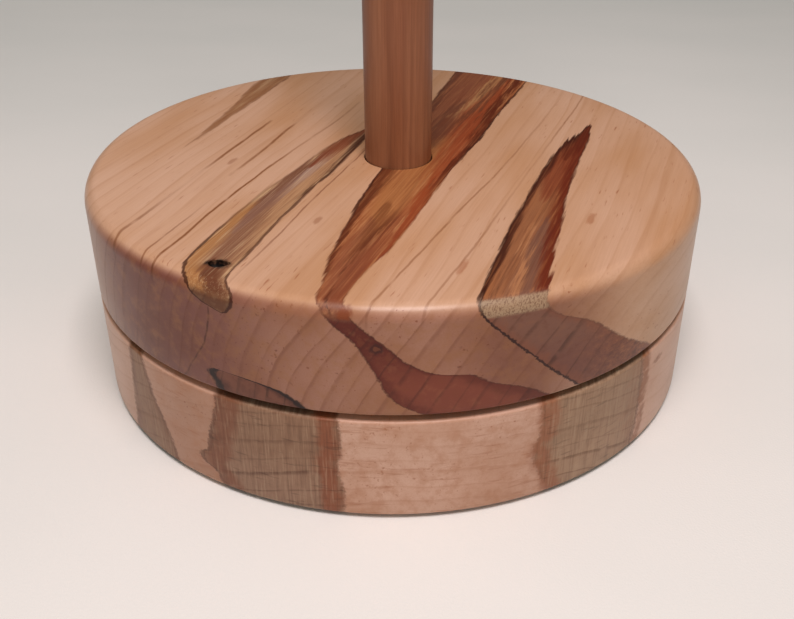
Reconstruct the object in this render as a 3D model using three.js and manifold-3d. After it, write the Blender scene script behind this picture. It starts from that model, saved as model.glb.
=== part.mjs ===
// An upright paper towel holder turned from two thick wooden discs. The lower disc stands on four thin
// pads. The upper disc, the platter, carries the post and turns on the lower one on a square pressed
// steel turntable bearing, whose plates lie in a round pocket bored in the face of each disc.
//
// Millimetres, +Z up. The origin is on the surface that the holder stands on, under the post's axis.

import * as THREE from "three";
import { mergeVertices } from "three/addons/utils/BufferGeometryUtils.js";
import Module from "manifold-3d";

const wasm = await Module();
wasm.setup();

// ---------------------------------------------------------------------------------------------------
// Driving dimensions
// ---------------------------------------------------------------------------------------------------

const TOUCH_GAP = 0.05; // left between pieces that rest on or against each other

// Wooden discs
const DISC_DIAMETER = 173;
const BASE_THICKNESS = 28.3;
const PLATTER_THICKNESS = 28.7;
const DISC_GAP = 1.9; // the shadow line between the two discs
const PLATTER_EDGE_ROUND = 4; // upper rim of the platter
const SMALL_EDGE_ROUND = 0.8; // the other three rims, only sanded

// Post
const POST_DIAMETER = 19.05;
const POST_STAND = 305; // what stands above the platter, for a roll 279 high
const POST_SOCKET_WEB = 6.6; // wood left between the socket and the bearing pocket
const POST_SOCKET_CLEARANCE = 0.3; // the glue line, radially
const POST_TOP_ROUND = 6;
const POST_FOOT_CHAMFER = 1;

// Post screw: countersunk wood screw driven up through the platter's web
const POST_SCREW_LENGTH = 30;
const POST_SCREW_SHANK = 4.2;
const POST_SCREW_HEAD = 8.2;
const POST_SCREW_HEAD_HEIGHT = 2.6;
const POST_SCREW_RECESS_DEPTH = 1.4;

// Foot pads
const PAD_COUNT = 4;
const PAD_DIAMETER = 19;
const PAD_THICKNESS = 1;
const PAD_EDGE_INSET = 9; // from the pad's edge to the side of the base
const PAD_TURN = 45; // degrees, of the first pad

// Turntable bearing
const PLATE_SIDE = 76.2;
const PLATE_CORNER_ROUND = 5;
const SHEET = 1;
const PLATE_POCKET_CLEARANCE = 2; // from the plate's corners to the pocket's wall
const UPPER_PLATE_TURN = 45; // degrees, from the lower plate, with its screws over the access hole
const BALL_DIAMETER = 4;
const BALL_COUNT = 20;
const BALL_CLEARANCE = 0.1; // between a ball and each race
const RACE_SHARE = 0.315; // radius that the balls run at, as a share of the plate's side
const RACE_GROOVE_DEPTH = 0.4;
const RACE_GROOVE_HALF_WIDTH = 1.9;
const PAN_HALF_WIDTH = 5; // of the upper plate's dished ring, each side of the balls
const PAN_STEP_RUN = 3; // how far the sheet runs outwards as it rises to the flange
const COLLAR_WALL_CLEARANCE = 1; // from the lower plate's collar to the pan's inner edge
const COLLAR_LIP_OVERLAP = 3; // how far the rolled lip reaches over the pan
const COLLAR_LIP_CLEARANCE = 0.3;
const COLLAR_HEADROOM = 1.24; // over the lip, which makes the whole bearing 7.94 high
const RETAINER_THICKNESS = 1;
const RETAINER_HALF_WIDTH = 2.9;
const RETAINER_BALL_CLEARANCE = 0.15;

// Plate screws: short pan head wood screws
const PLATE_SCREW_INSET = 7.95; // from two sides of the plate
const PLATE_SCREW_HEAD = 6.9;
const PLATE_SCREW_HEAD_HEIGHT = 2.1;
const PLATE_SCREW_SHANK = 3.5;
const PLATE_SCREW_LENGTH = 12.7;
const PLATE_SCREW_RECESS_DEPTH = 1.1;
const SCREW_HOLE_CLEARANCE = 0.3; // radially, in sheet and wood, and past the screw's point
const SCREW_POINT_LENGTH = 3;
const SCREW_POINT_RADIUS = 0.4;
const SCREW_SLOT_WIDTH = 0.9; // each arm of the cross recess
const SCREW_SLOT_SHARE = 0.62; // of the head's diameter

// Hole through the base for a screwdriver, to reach the upper plate's screws
const ACCESS_HOLE_DIAMETER = 14;

// Facets
const DISC_FACETS = 96;
const POST_FACETS = 48;
const RACE_FACETS = 60;
const SMALL_FACETS = 16;
const ROUND_STEPS = 4;

// ---------------------------------------------------------------------------------------------------
// Worked out from them
// ---------------------------------------------------------------------------------------------------

const discRadius = DISC_DIAMETER / 2;
const postRadius = POST_DIAMETER / 2;
const ballRadius = BALL_DIAMETER / 2;

// Bearing: radii, and heights over the lower plate's underside
const raceRadius = PLATE_SIDE * RACE_SHARE;
const panInner = raceRadius - PAN_HALF_WIDTH;
const panOuter = raceRadius + PAN_HALF_WIDTH;
const collarOuter = panInner - COLLAR_WALL_CLEARANCE;
const flangeInner = panOuter + PAN_STEP_RUN;
const ballHeight = SHEET - RACE_GROOVE_DEPTH + BALL_CLEARANCE + ballRadius;
const panUnder = ballHeight + ballRadius + BALL_CLEARANCE - RACE_GROOVE_DEPTH;
const lipUnder = panUnder + SHEET + COLLAR_LIP_CLEARANCE;
const bearingHeight = lipUnder + SHEET + COLLAR_HEADROOM;

// Pockets and levels of the discs and the post
const pocketDepth = (bearingHeight + 2 * TOUCH_GAP - DISC_GAP) / 2;
const pocketRadius = PLATE_SIDE / Math.SQRT2 + PLATE_POCKET_CLEARANCE;

const baseBottom = PAD_THICKNESS + TOUCH_GAP;
const baseTop = baseBottom + BASE_THICKNESS;
const platterBottom = baseTop + DISC_GAP;
const platterTop = platterBottom + PLATTER_THICKNESS;
const platterPocketFloor = platterBottom + pocketDepth;
const lowerPlateUnder = baseTop - pocketDepth + TOUCH_GAP;
const upperPlateOver = lowerPlateUnder + bearingHeight;
const socketFloor = platterPocketFloor + POST_SOCKET_WEB;
const postFoot = socketFloor + TOUCH_GAP;
const postTop = platterTop + POST_STAND;

// Screw holes
const plateScrewRadius = (PLATE_SIDE / 2 - PLATE_SCREW_INSET) * Math.SQRT2;
const screwHoleRadius = PLATE_SCREW_SHANK / 2 + SCREW_HOLE_CLEARANCE;
const screwHoleDepth = PLATE_SCREW_LENGTH + SCREW_HOLE_CLEARANCE; // from the plate's outer face

// ---------------------------------------------------------------------------------------------------
// Shape tools
// ---------------------------------------------------------------------------------------------------

const radians = THREE.MathUtils.degToRad;

// A closed geometry as a manifold solid.
function solid(geometry) {
  const flat = geometry.index ? geometry.toNonIndexed() : geometry;
  const bare = new THREE.BufferGeometry().setAttribute("position", flat.getAttribute("position"));
  const merged = mergeVertices(bare, 1e-4);
  return new wasm.Manifold(
    new wasm.Mesh({
      numProp: 3,
      vertProperties: merged.attributes.position.array,
      triVerts: new Uint32Array(merged.index.array),
    }),
  );
}

// A manifold solid as a geometry.
function geometryOf(body) {
  const mesh = body.getMesh();
  const points = new Float32Array(mesh.numVert * 3);
  for (let i = 0; i < mesh.numVert; i++) {
    points.set(mesh.vertProperties.subarray(i * mesh.numProp, i * mesh.numProp + 3), i * 3);
  }
  const geometry = new THREE.BufferGeometry()
    .setAttribute("position", new THREE.BufferAttribute(points, 3))
    .setIndex(new THREE.BufferAttribute(mesh.triVerts, 1))
    .toNonIndexed();
  geometry.computeVertexNormals();
  return geometry;
}

// Revolves an outline of [radius, height] points round Z. The outline runs with its solid on the left:
// outwards along the bottom, up the outside and back over the top. A ring's outline closes on itself.
function revolve(outline, facets) {
  const points = outline.map(([radius, height]) => new THREE.Vector2(radius, height));
  if (outline[0][0] > 0) {
    points.push(points[0].clone());
  }
  return new THREE.LatheGeometry(points, facets).rotateX(Math.PI / 2);
}

// Points of a quarter round from one angle to another, in degrees, about a centre.
function arc(centreRadius, centreHeight, radius, from, to, steps = ROUND_STEPS) {
  return Array.from({ length: steps + 1 }, (_, i) => {
    const angle = radians(from + ((to - from) * i) / steps);
    return [centreRadius + radius * Math.cos(angle), centreHeight + radius * Math.sin(angle)];
  });
}

// A cylinder along Z between two heights, centred on x, y.
function drill(x, y, radius, from, to, facets = SMALL_FACETS) {
  return solid(
    new THREE.CylinderGeometry(radius, radius, to - from, facets)
      .rotateX(Math.PI / 2)
      .translate(x, y, (from + to) / 2),
  );
}

// Calls make(x, y, i) for count places spaced evenly round a circle.
function roundCircle(count, radius, turn, make) {
  return Array.from({ length: count }, (_, i) => {
    const angle = radians(turn + (360 * i) / count);
    return make(radius * Math.cos(angle), radius * Math.sin(angle), i);
  });
}

// The four corner screw places of a plate turned by some degrees.
function plateScrewPlaces(turn, make) {
  return roundCircle(4, plateScrewRadius, turn + 45, make);
}

// The groove that the balls run in, as the ring that cuts it. Its middle is at a height.
function grooveRing(height) {
  const half = RACE_GROOVE_HALF_WIDTH;
  const depth = RACE_GROOVE_DEPTH;
  return solid(
    revolve(
      [
        [raceRadius, height - depth],
        [raceRadius + half, height],
        [raceRadius, height + depth],
        [raceRadius - half, height],
      ],
      RACE_FACETS,
    ),
  );
}

// A square sheet with round corners and a round hole, lying from z = 0 up.
function squareSheet(holeRadius) {
  const half = PLATE_SIDE / 2;
  const round = PLATE_CORNER_ROUND;
  const shape = new THREE.Shape();
  shape.moveTo(half, -half + round);
  for (let quarter = 0; quarter < 4; quarter++) {
    const turn = (quarter * Math.PI) / 2;
    const centre = new THREE.Vector2(half - round, half - round).rotateAround(new THREE.Vector2(), turn);
    shape.absarc(centre.x, centre.y, round, turn, turn + Math.PI / 2, false);
  }
  shape.closePath();
  const sheet = new THREE.ExtrudeGeometry(shape, { depth: SHEET, bevelEnabled: false, curveSegments: 4 });
  return solid(sheet).subtract(drill(0, 0, holeRadius, -SHEET, 2 * SHEET, RACE_FACETS));
}

// ---------------------------------------------------------------------------------------------------
// Materials
// ---------------------------------------------------------------------------------------------------

const material = (color, roughness, metalness = 0) =>
  new THREE.MeshStandardMaterial({ color, roughness, metalness });

const baseWood = material(0xc29678, 0.4);
const platterWood = material(0xcd9b7a, 0.35);
const dowelWood = material(0x825032, 0.4);
const zincSteel = material(0xb9bcc0, 0.35, 1);
const ballSteel = material(0xd5d7da, 0.12, 1);
const screwSteel = material(0xb8a875, 0.35, 1);
const nylon = material(0xe6e2d6, 0.5);
const felt = material(0x544538, 0.95);

// ---------------------------------------------------------------------------------------------------
// Wooden pieces
// ---------------------------------------------------------------------------------------------------

// Lower disc: pocket for the lower plate on top, pilot holes, and the screwdriver's access hole.
function baseDisc() {
  const ease = SMALL_EDGE_ROUND;
  const pocketFloor = baseTop - pocketDepth;
  let body = solid(
    revolve(
      [
        [0, baseBottom],
        ...arc(discRadius - ease, baseBottom + ease, ease, -90, 0, 2),
        ...arc(discRadius - ease, baseTop - ease, ease, 0, 90, 2),
        [pocketRadius, baseTop],
        [pocketRadius, pocketFloor],
        [0, pocketFloor],
      ],
      DISC_FACETS,
    ),
  );
  const plateTop = lowerPlateUnder + SHEET;
  plateScrewPlaces(0, (x, y) => {
    body = body.subtract(drill(x, y, screwHoleRadius, plateTop - screwHoleDepth, baseTop));
  });
  const access = drill(plateScrewRadius, 0, ACCESS_HOLE_DIAMETER / 2, 0, platterBottom, 2 * SMALL_FACETS);
  return body.subtract(access);
}

// Upper disc: socket for the post on top, pocket for the upper plate below, and the web between them
// with the countersunk hole for the post screw.
function platterDisc() {
  const round = PLATTER_EDGE_ROUND;
  const ease = SMALL_EDGE_ROUND;
  const socketRadius = postRadius + POST_SOCKET_CLEARANCE;
  const holeRadius = POST_SCREW_SHANK / 2 + SCREW_HOLE_CLEARANCE;
  const sinkRadius = POST_SCREW_HEAD / 2 + SCREW_HOLE_CLEARANCE;
  const blank = revolve(
    [
      [0, platterBottom],
      ...arc(discRadius - ease, platterBottom + ease, ease, -90, 0, 2),
      ...arc(discRadius - round, platterTop - round, round, 0, 90),
      [0, platterTop],
    ],
    DISC_FACETS,
  );
  const bore = revolve(
    [
      [0, platterBottom - 1],
      [pocketRadius, platterBottom - 1],
      [pocketRadius, platterPocketFloor],
      [sinkRadius, platterPocketFloor],
      [sinkRadius, platterPocketFloor + SCREW_HOLE_CLEARANCE],
      [holeRadius, platterPocketFloor + POST_SCREW_HEAD_HEIGHT + SCREW_HOLE_CLEARANCE],
      [holeRadius, socketFloor],
      [socketRadius, socketFloor],
      [socketRadius, platterTop + 1],
      [0, platterTop + 1],
    ],
    POST_FACETS,
  );
  let body = solid(blank).subtract(solid(bore));
  const plateUnder = upperPlateOver - SHEET;
  plateScrewPlaces(UPPER_PLATE_TURN, (x, y) => {
    body = body.subtract(drill(x, y, screwHoleRadius, platterBottom, plateUnder + screwHoleDepth));
  });
  return body;
}

// Post: a plain dowel with a rounded top, a chamfered foot and a pilot hole up its end.
function post() {
  const holeRadius = POST_SCREW_SHANK / 2 + SCREW_HOLE_CLEARANCE;
  const holeTop = platterPocketFloor + POST_SCREW_LENGTH + SCREW_HOLE_CLEARANCE;
  return solid(
    revolve(
      [
        [0, holeTop],
        [holeRadius, holeTop],
        [holeRadius, postFoot],
        [postRadius - POST_FOOT_CHAMFER, postFoot],
        [postRadius, postFoot + POST_FOOT_CHAMFER],
        ...arc(postRadius - POST_TOP_ROUND, postTop - POST_TOP_ROUND, POST_TOP_ROUND, 0, 90, 6),
        [0, postTop],
      ],
      POST_FACETS,
    ),
  );
}

// Stick-on felt pad under the base.
function footPad() {
  return drill(0, 0, PAD_DIAMETER / 2, -PAD_THICKNESS / 2, PAD_THICKNESS / 2, 2 * SMALL_FACETS);
}

// ---------------------------------------------------------------------------------------------------
// Bearing, from the lower plate's underside up
// ---------------------------------------------------------------------------------------------------

// Square sheet with the race groove, and a collar whose rolled lip holds the upper plate down.
function bearingLowerPlate() {
  const collarInner = collarOuter - SHEET;
  const collar = revolve(
    [
      [collarInner, 0],
      [flangeInner, 0],
      [flangeInner, SHEET],
      [collarOuter, SHEET],
      [collarOuter, lipUnder],
      [panInner + COLLAR_LIP_OVERLAP, lipUnder],
      [panInner + COLLAR_LIP_OVERLAP, lipUnder + SHEET],
      [collarInner + SHEET / 2, lipUnder + SHEET],
      [collarInner, lipUnder + SHEET / 2],
    ],
    RACE_FACETS,
  );
  let body = squareSheet(collarOuter).add(solid(collar)).subtract(grooveRing(SHEET));
  plateScrewPlaces(0, (x, y) => {
    body = body.subtract(drill(x, y, screwHoleRadius, -SHEET, 2 * SHEET));
  });
  return body;
}

// Square sheet dished down to a ring that runs on the balls.
function bearingUpperPlate() {
  const flangeUnder = bearingHeight - SHEET;
  const dish = revolve(
    [
      [panInner, panUnder],
      [panOuter, panUnder],
      [flangeInner, flangeUnder],
      [flangeInner + SHEET, flangeUnder],
      [flangeInner + SHEET, bearingHeight],
      [flangeInner - SHEET / 2, bearingHeight],
      [panOuter - SHEET / 2, panUnder + SHEET],
      [panInner, panUnder + SHEET],
    ],
    RACE_FACETS,
  );
  let body = squareSheet(flangeInner).translate([0, 0, flangeUnder]);
  body = body.add(solid(dish)).subtract(grooveRing(panUnder));
  plateScrewPlaces(0, (x, y) => {
    body = body.subtract(drill(x, y, screwHoleRadius, flangeUnder - SHEET, bearingHeight + SHEET));
  });
  return body;
}

// Flat ring that keeps the balls apart.
function ballRetainer() {
  const under = ballHeight - RETAINER_THICKNESS / 2;
  const over = ballHeight + RETAINER_THICKNESS / 2;
  const inner = raceRadius - RETAINER_HALF_WIDTH;
  const outer = raceRadius + RETAINER_HALF_WIDTH;
  let body = solid(
    revolve([[inner, under], [outer, under], [outer, over], [inner, over]], RACE_FACETS),
  );
  roundCircle(BALL_COUNT, raceRadius, 0, (x, y) => {
    const pocket = drill(x, y, ballRadius + RETAINER_BALL_CLEARANCE, 0, bearingHeight, SMALL_FACETS);
    body = body.subtract(pocket);
  });
  return body;
}

const ball = () => solid(new THREE.SphereGeometry(ballRadius, 10, 8).rotateX(Math.PI / 2));

// ---------------------------------------------------------------------------------------------------
// Screws, with the head's outer face at z = 0 and the point upwards
// ---------------------------------------------------------------------------------------------------

function crossRecess(headDiameter, depth) {
  const arm = headDiameter * SCREW_SLOT_SHARE;
  const bar = (x, y) => solid(new THREE.BoxGeometry(x, y, 2 * depth));
  return bar(arm, SCREW_SLOT_WIDTH).add(bar(SCREW_SLOT_WIDTH, arm));
}

function woodScrew(headOutline, headDiameter, shankDiameter, totalLength, recessDepth) {
  const shank = shankDiameter / 2;
  const outline = [
    [0, 0],
    ...headOutline,
    [shank, totalLength - SCREW_POINT_LENGTH],
    [SCREW_POINT_RADIUS, totalLength],
    [0, totalLength],
  ];
  return solid(revolve(outline, SMALL_FACETS)).subtract(crossRecess(headDiameter, recessDepth));
}

// Pan head screw through a bearing plate.
function plateScrew() {
  const head = PLATE_SCREW_HEAD / 2;
  const height = PLATE_SCREW_HEAD_HEIGHT;
  const outline = [
    [head * 0.7, 0],
    [head, height * 0.4],
    [head, height],
    [PLATE_SCREW_SHANK / 2, height],
  ];
  return woodScrew(
    outline,
    PLATE_SCREW_HEAD,
    PLATE_SCREW_SHANK,
    height + TOUCH_GAP + PLATE_SCREW_LENGTH,
    PLATE_SCREW_RECESS_DEPTH,
  );
}

// Countersunk screw up the foot of the post.
function postScrew() {
  const outline = [
    [POST_SCREW_HEAD / 2, 0],
    [POST_SCREW_SHANK / 2, POST_SCREW_HEAD_HEIGHT],
  ];
  return woodScrew(
    outline,
    POST_SCREW_HEAD,
    POST_SCREW_SHANK,
    POST_SCREW_LENGTH,
    POST_SCREW_RECESS_DEPTH,
  );
}

// ---------------------------------------------------------------------------------------------------
// Assembly
// ---------------------------------------------------------------------------------------------------

const holder = new THREE.Group();

function place(name, body, look, parent = holder, position = [0, 0, 0]) {
  const mesh = new THREE.Mesh(geometryOf(body), look);
  mesh.name = name;
  mesh.position.set(...position);
  parent.add(mesh);
  return mesh;
}

place("base_disc", baseDisc(), baseWood);
place("platter_disc", platterDisc(), platterWood);
place("post", post(), dowelWood);
place("post_screw", postScrew(), screwSteel, holder, [0, 0, platterPocketFloor]);

const padCircle = discRadius - PAD_EDGE_INSET - PAD_DIAMETER / 2;
roundCircle(PAD_COUNT, padCircle, PAD_TURN, (x, y, i) =>
  place(`foot_pad_${i + 1}`, footPad(), felt, holder, [x, y, PAD_THICKNESS / 2]),
);

const bearing = new THREE.Group();
bearing.position.z = lowerPlateUnder;
holder.add(bearing);

place("bearing_lower_plate", bearingLowerPlate(), zincSteel, bearing);
const upperPlate = place("bearing_upper_plate", bearingUpperPlate(), zincSteel, bearing);
upperPlate.rotation.z = radians(UPPER_PLATE_TURN);
place("ball_retainer", ballRetainer(), nylon, bearing);
roundCircle(BALL_COUNT, raceRadius, 0, (x, y, i) =>
  place(`ball_${String(i + 1).padStart(2, "0")}`, ball(), ballSteel, bearing, [x, y, ballHeight]),
);

// The lower plate's screws point down, so each is turned over.
plateScrewPlaces(0, (x, y, i) => {
  const top = SHEET + TOUCH_GAP + PLATE_SCREW_HEAD_HEIGHT;
  const screw = place(`lower_plate_screw_${i + 1}`, plateScrew(), screwSteel, bearing, [x, y, top]);
  screw.rotation.x = Math.PI;
});
plateScrewPlaces(UPPER_PLATE_TURN, (x, y, i) => {
  const under = bearingHeight - SHEET - TOUCH_GAP - PLATE_SCREW_HEAD_HEIGHT;
  place(`upper_plate_screw_${i + 1}`, plateScrew(), screwSteel, bearing, [x, y, under]);
});

export default holder;
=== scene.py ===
"""Looks of an upright paper towel holder in spalted maple.

A base disc stands on four felt pads. A platter disc of the same diameter turns on it over a pressed
steel turntable bearing, and carries a plain dowel post. Sizes are in millimetres and turned into metres
where a mesh or a shader is made.
"""

import logging
import math
from collections.abc import Sequence
from dataclasses import dataclass, field
from enum import Enum

import bmesh
import bpy
from mathutils import Matrix, Vector


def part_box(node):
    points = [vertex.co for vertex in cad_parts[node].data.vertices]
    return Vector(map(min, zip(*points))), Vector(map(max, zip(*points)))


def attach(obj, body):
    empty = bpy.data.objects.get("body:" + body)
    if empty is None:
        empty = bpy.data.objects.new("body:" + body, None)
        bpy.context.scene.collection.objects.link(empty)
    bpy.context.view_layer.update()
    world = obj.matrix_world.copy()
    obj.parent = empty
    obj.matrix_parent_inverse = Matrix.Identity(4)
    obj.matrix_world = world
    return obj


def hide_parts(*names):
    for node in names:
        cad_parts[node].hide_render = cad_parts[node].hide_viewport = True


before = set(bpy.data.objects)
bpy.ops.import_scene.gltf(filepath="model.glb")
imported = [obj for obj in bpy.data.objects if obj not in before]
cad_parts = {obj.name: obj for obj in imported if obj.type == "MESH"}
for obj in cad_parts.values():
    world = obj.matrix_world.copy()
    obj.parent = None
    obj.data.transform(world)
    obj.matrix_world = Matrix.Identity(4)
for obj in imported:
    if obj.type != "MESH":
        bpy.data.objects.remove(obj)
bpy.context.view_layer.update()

MM = 0.001

Socket = bpy.types.NodeSocket
Value = float | Sequence[float] | Socket
Profile = list[tuple[float, float]]

log = logging.getLogger("paper_towel_holder")


def colour(code: str) -> tuple[float, float, float, float]:
    """Turns a screen colour written as rrggbb into the linear colour that a shader takes.

    Args:
        code: Six hexadecimal digits.

    Returns:
        Linear red, green, blue and alpha.
    """
    parts = [int(code[i : i + 2], 16) / 255 for i in (0, 2, 4)]
    linear = [p / 12.92 if p <= 0.04045 else ((p + 0.055) / 1.055) ** 2.4 for p in parts]
    return (*linear, 1.0)


# --------------------------------------------------------------------------------------------------
# Shader tools
# --------------------------------------------------------------------------------------------------


@dataclass(frozen=True)
class Trace:
    """A drawn line: how far something lies, at each of a few places, smooth between them.

    Attributes:
        places: Pairs of place and distance, in millimetres, with the places rising.
    """

    places: tuple[tuple[float, float], ...]

    @property
    def reach(self) -> tuple[float, float]:
        """The first and last place."""
        return self.places[0][0], self.places[-1][0]

    @property
    def spread(self) -> tuple[float, float]:
        """The least and greatest distance, never the same."""
        distances = [distance for _, distance in self.places]
        return min(distances), max(max(distances), min(distances) + 0.001)


class Graph:
    """Lays shader nodes in one tree, so that a formula is a line of code."""

    def __init__(self, tree: bpy.types.NodeTree) -> None:
        """Keeps the tree that the nodes are laid in.

        Args:
            tree: The material's, world's or group's node tree.
        """
        self.tree = tree

    def add(self, kind: str, **settings: object) -> bpy.types.Node:
        """Adds one node with its settings.

        Args:
            kind: The node's type name.
            settings: Properties of the node.

        Returns:
            The new node.
        """
        node = self.tree.nodes.new(kind)
        for name, setting in settings.items():
            setattr(node, name, setting)
        return node

    def feed(self, socket: Socket, value: Value) -> None:
        """Links a socket to another, or sets it to a constant.

        Args:
            socket: The input.
            value: The output to link, or the constant.
        """
        if isinstance(value, Socket):
            self.tree.links.new(value, socket)
        else:
            socket.default_value = value

    def math(self, operation: str, *values: Value, clamp: bool = False) -> Socket:
        """One Math node.

        Args:
            operation: What it does, such as MULTIPLY.
            values: Its inputs.
            clamp: Whether the result is kept from 0 to 1.

        Returns:
            The result.
        """
        node = self.add("ShaderNodeMath", operation=operation, use_clamp=clamp)
        for socket, value in zip(node.inputs, values):
            self.feed(socket, value)
        return node.outputs[0]

    def sum(self, *values: Value) -> Socket:
        """Adds values together.

        Args:
            values: Two or more values.

        Returns:
            Their sum.
        """
        total = values[0]
        for value in values[1:]:
            total = self.math("ADD", total, value)
        return total

    def times(self, *values: Value) -> Socket:
        """Multiplies values together.

        Args:
            values: Two or more values.

        Returns:
            Their product.
        """
        product = values[0]
        for value in values[1:]:
            product = self.math("MULTIPLY", product, value)
        return product

    def step(self, value: Value, low: float | Socket, high: float | Socket) -> Socket:
        """Eases from 0 on the low side to 1 on the high side.

        Args:
            value: What is tested.
            low: Where the result is 0.
            high: Where the result is 1; it may be less than low.

        Returns:
            The eased value.
        """
        node = self.add("ShaderNodeMapRange", interpolation_type="SMOOTHSTEP")
        for socket, given in zip(node.inputs, (value, low, high, 0.0, 1.0)):
            self.feed(socket, given)
        return node.outputs[0]

    def fit(self, value: Value, low: float, high: float) -> Socket:
        """Stretches a value that runs from 0 to 1 to run from low to high."""
        return self.math("MULTIPLY_ADD", value, high - low, low)

    def mix(self, share: Value, under: Value, over: Value, how: str = "MIX") -> Socket:
        """Lays one colour over another.

        Args:
            share: How much of the upper colour shows.
            under: The lower colour.
            over: The upper colour.
            how: The way they are mixed.

        Returns:
            The mixed colour.
        """
        node = self.add("ShaderNodeMix", data_type="RGBA", blend_type=how)
        for index, value in ((0, share), (6, under), (7, over)):
            self.feed(node.inputs[index], value)
        return node.outputs[2]

    def point(self, x: Value, y: Value, z: Value) -> Socket:
        """Makes a vector from three numbers.

        Args:
            x: The first number.
            y: The second number.
            z: The third number.

        Returns:
            The vector.
        """
        node = self.add("ShaderNodeCombineXYZ")
        for socket, value in zip(node.inputs, (x, y, z)):
            self.feed(socket, value)
        return node.outputs[0]

    def split(self, vector: Socket) -> tuple[Socket, Socket, Socket]:
        """Takes a vector apart.

        Args:
            vector: The vector.

        Returns:
            Its three numbers.
        """
        node = self.add("ShaderNodeSeparateXYZ")
        self.feed(node.inputs[0], vector)
        return node.outputs[0], node.outputs[1], node.outputs[2]

    def noise(self, vector: Socket, detail: float = 2.0, roughness: float = 0.5) -> Socket:
        """Smooth noise, about 0.5, at one cell to each unit of the vector.

        Args:
            vector: The place.
            detail: How many finer layers are added.
            roughness: How strong the finer layers are.

        Returns:
            The noise.
        """
        node = self.add("ShaderNodeTexNoise", noise_dimensions="3D")
        self.feed(node.inputs["Vector"], vector)
        node.inputs["Scale"].default_value = 1.0
        node.inputs["Detail"].default_value = detail
        node.inputs["Roughness"].default_value = roughness
        return node.outputs[0]

    def follow(self, value: Socket, trace: Trace) -> Socket:
        """Reads a drawn line at a place.

        Args:
            value: The place.
            trace: The line.

        Returns:
            The distance there.
        """
        (first, last), (low, high) = trace.reach, trace.spread
        node = self.add("ShaderNodeFloatCurve")
        line = node.mapping.curves[0]
        spots = [((at - first) / (last - first), (far - low) / (high - low)) for at, far in trace.places]
        line.points[0].location, line.points[1].location = spots[0], spots[-1]
        for spot in spots[1:-1]:
            line.points.new(*spot)
        node.mapping.extend = "HORIZONTAL"
        node.mapping.update()
        place = self.math("MULTIPLY_ADD", value, 1 / (last - first), -first / (last - first))
        self.feed(node.inputs["Value"], place)
        return self.fit(node.outputs[0], low, high)


class Kind(Enum):
    """The kinds of socket on a shader effect."""

    NUMBER = "NodeSocketFloat"
    VECTOR = "NodeSocketVector"
    COLOUR = "NodeSocketColor"


class Effect:
    """A shader node group with named sockets, made once and placed in each material that needs it."""

    def __init__(self, name: str, takes: dict[str, Kind | float], gives: dict[str, Kind]) -> None:
        """Makes the empty group.

        Args:
            name: The group's name.
            takes: Its inputs, each a kind, or a number that is its value when nothing is given.
            gives: Its outputs.
        """
        self.tree = bpy.data.node_groups.new(name, "ShaderNodeTree")
        for title, kind in takes.items():
            number = not isinstance(kind, Kind)
            sort = Kind.NUMBER if number else kind
            made = self.tree.interface.new_socket(name=title, in_out="INPUT", socket_type=sort.value)
            if number:
                made.default_value = kind
        for title, kind in gives.items():
            self.tree.interface.new_socket(name=title, in_out="OUTPUT", socket_type=kind.value)
        self.graph = Graph(self.tree)
        self.source = self.graph.add("NodeGroupInput").outputs
        self.sink = self.graph.add("NodeGroupOutput").inputs

    def give(self, **values: Value) -> None:
        """Links the outputs.

        Args:
            values: The outputs, with each name's underscores read as spaces.
        """
        for title, value in values.items():
            self.graph.feed(self.sink[title.replace("_", " ")], value)

    def place(self, graph: Graph, **values: Value) -> dict[str, Socket]:
        """Places the group in a material.

        Args:
            graph: The material's graph.
            values: The inputs, with each name's underscores read as spaces.

        Returns:
            The outputs by name.
        """
        node = graph.add("ShaderNodeGroup", node_tree=self.tree)
        for title, value in values.items():
            graph.feed(node.inputs[title.replace("_", " ")], value)
        return {socket.name: socket for socket in node.outputs}


# --------------------------------------------------------------------------------------------------
# Shared effects
# --------------------------------------------------------------------------------------------------


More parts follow.
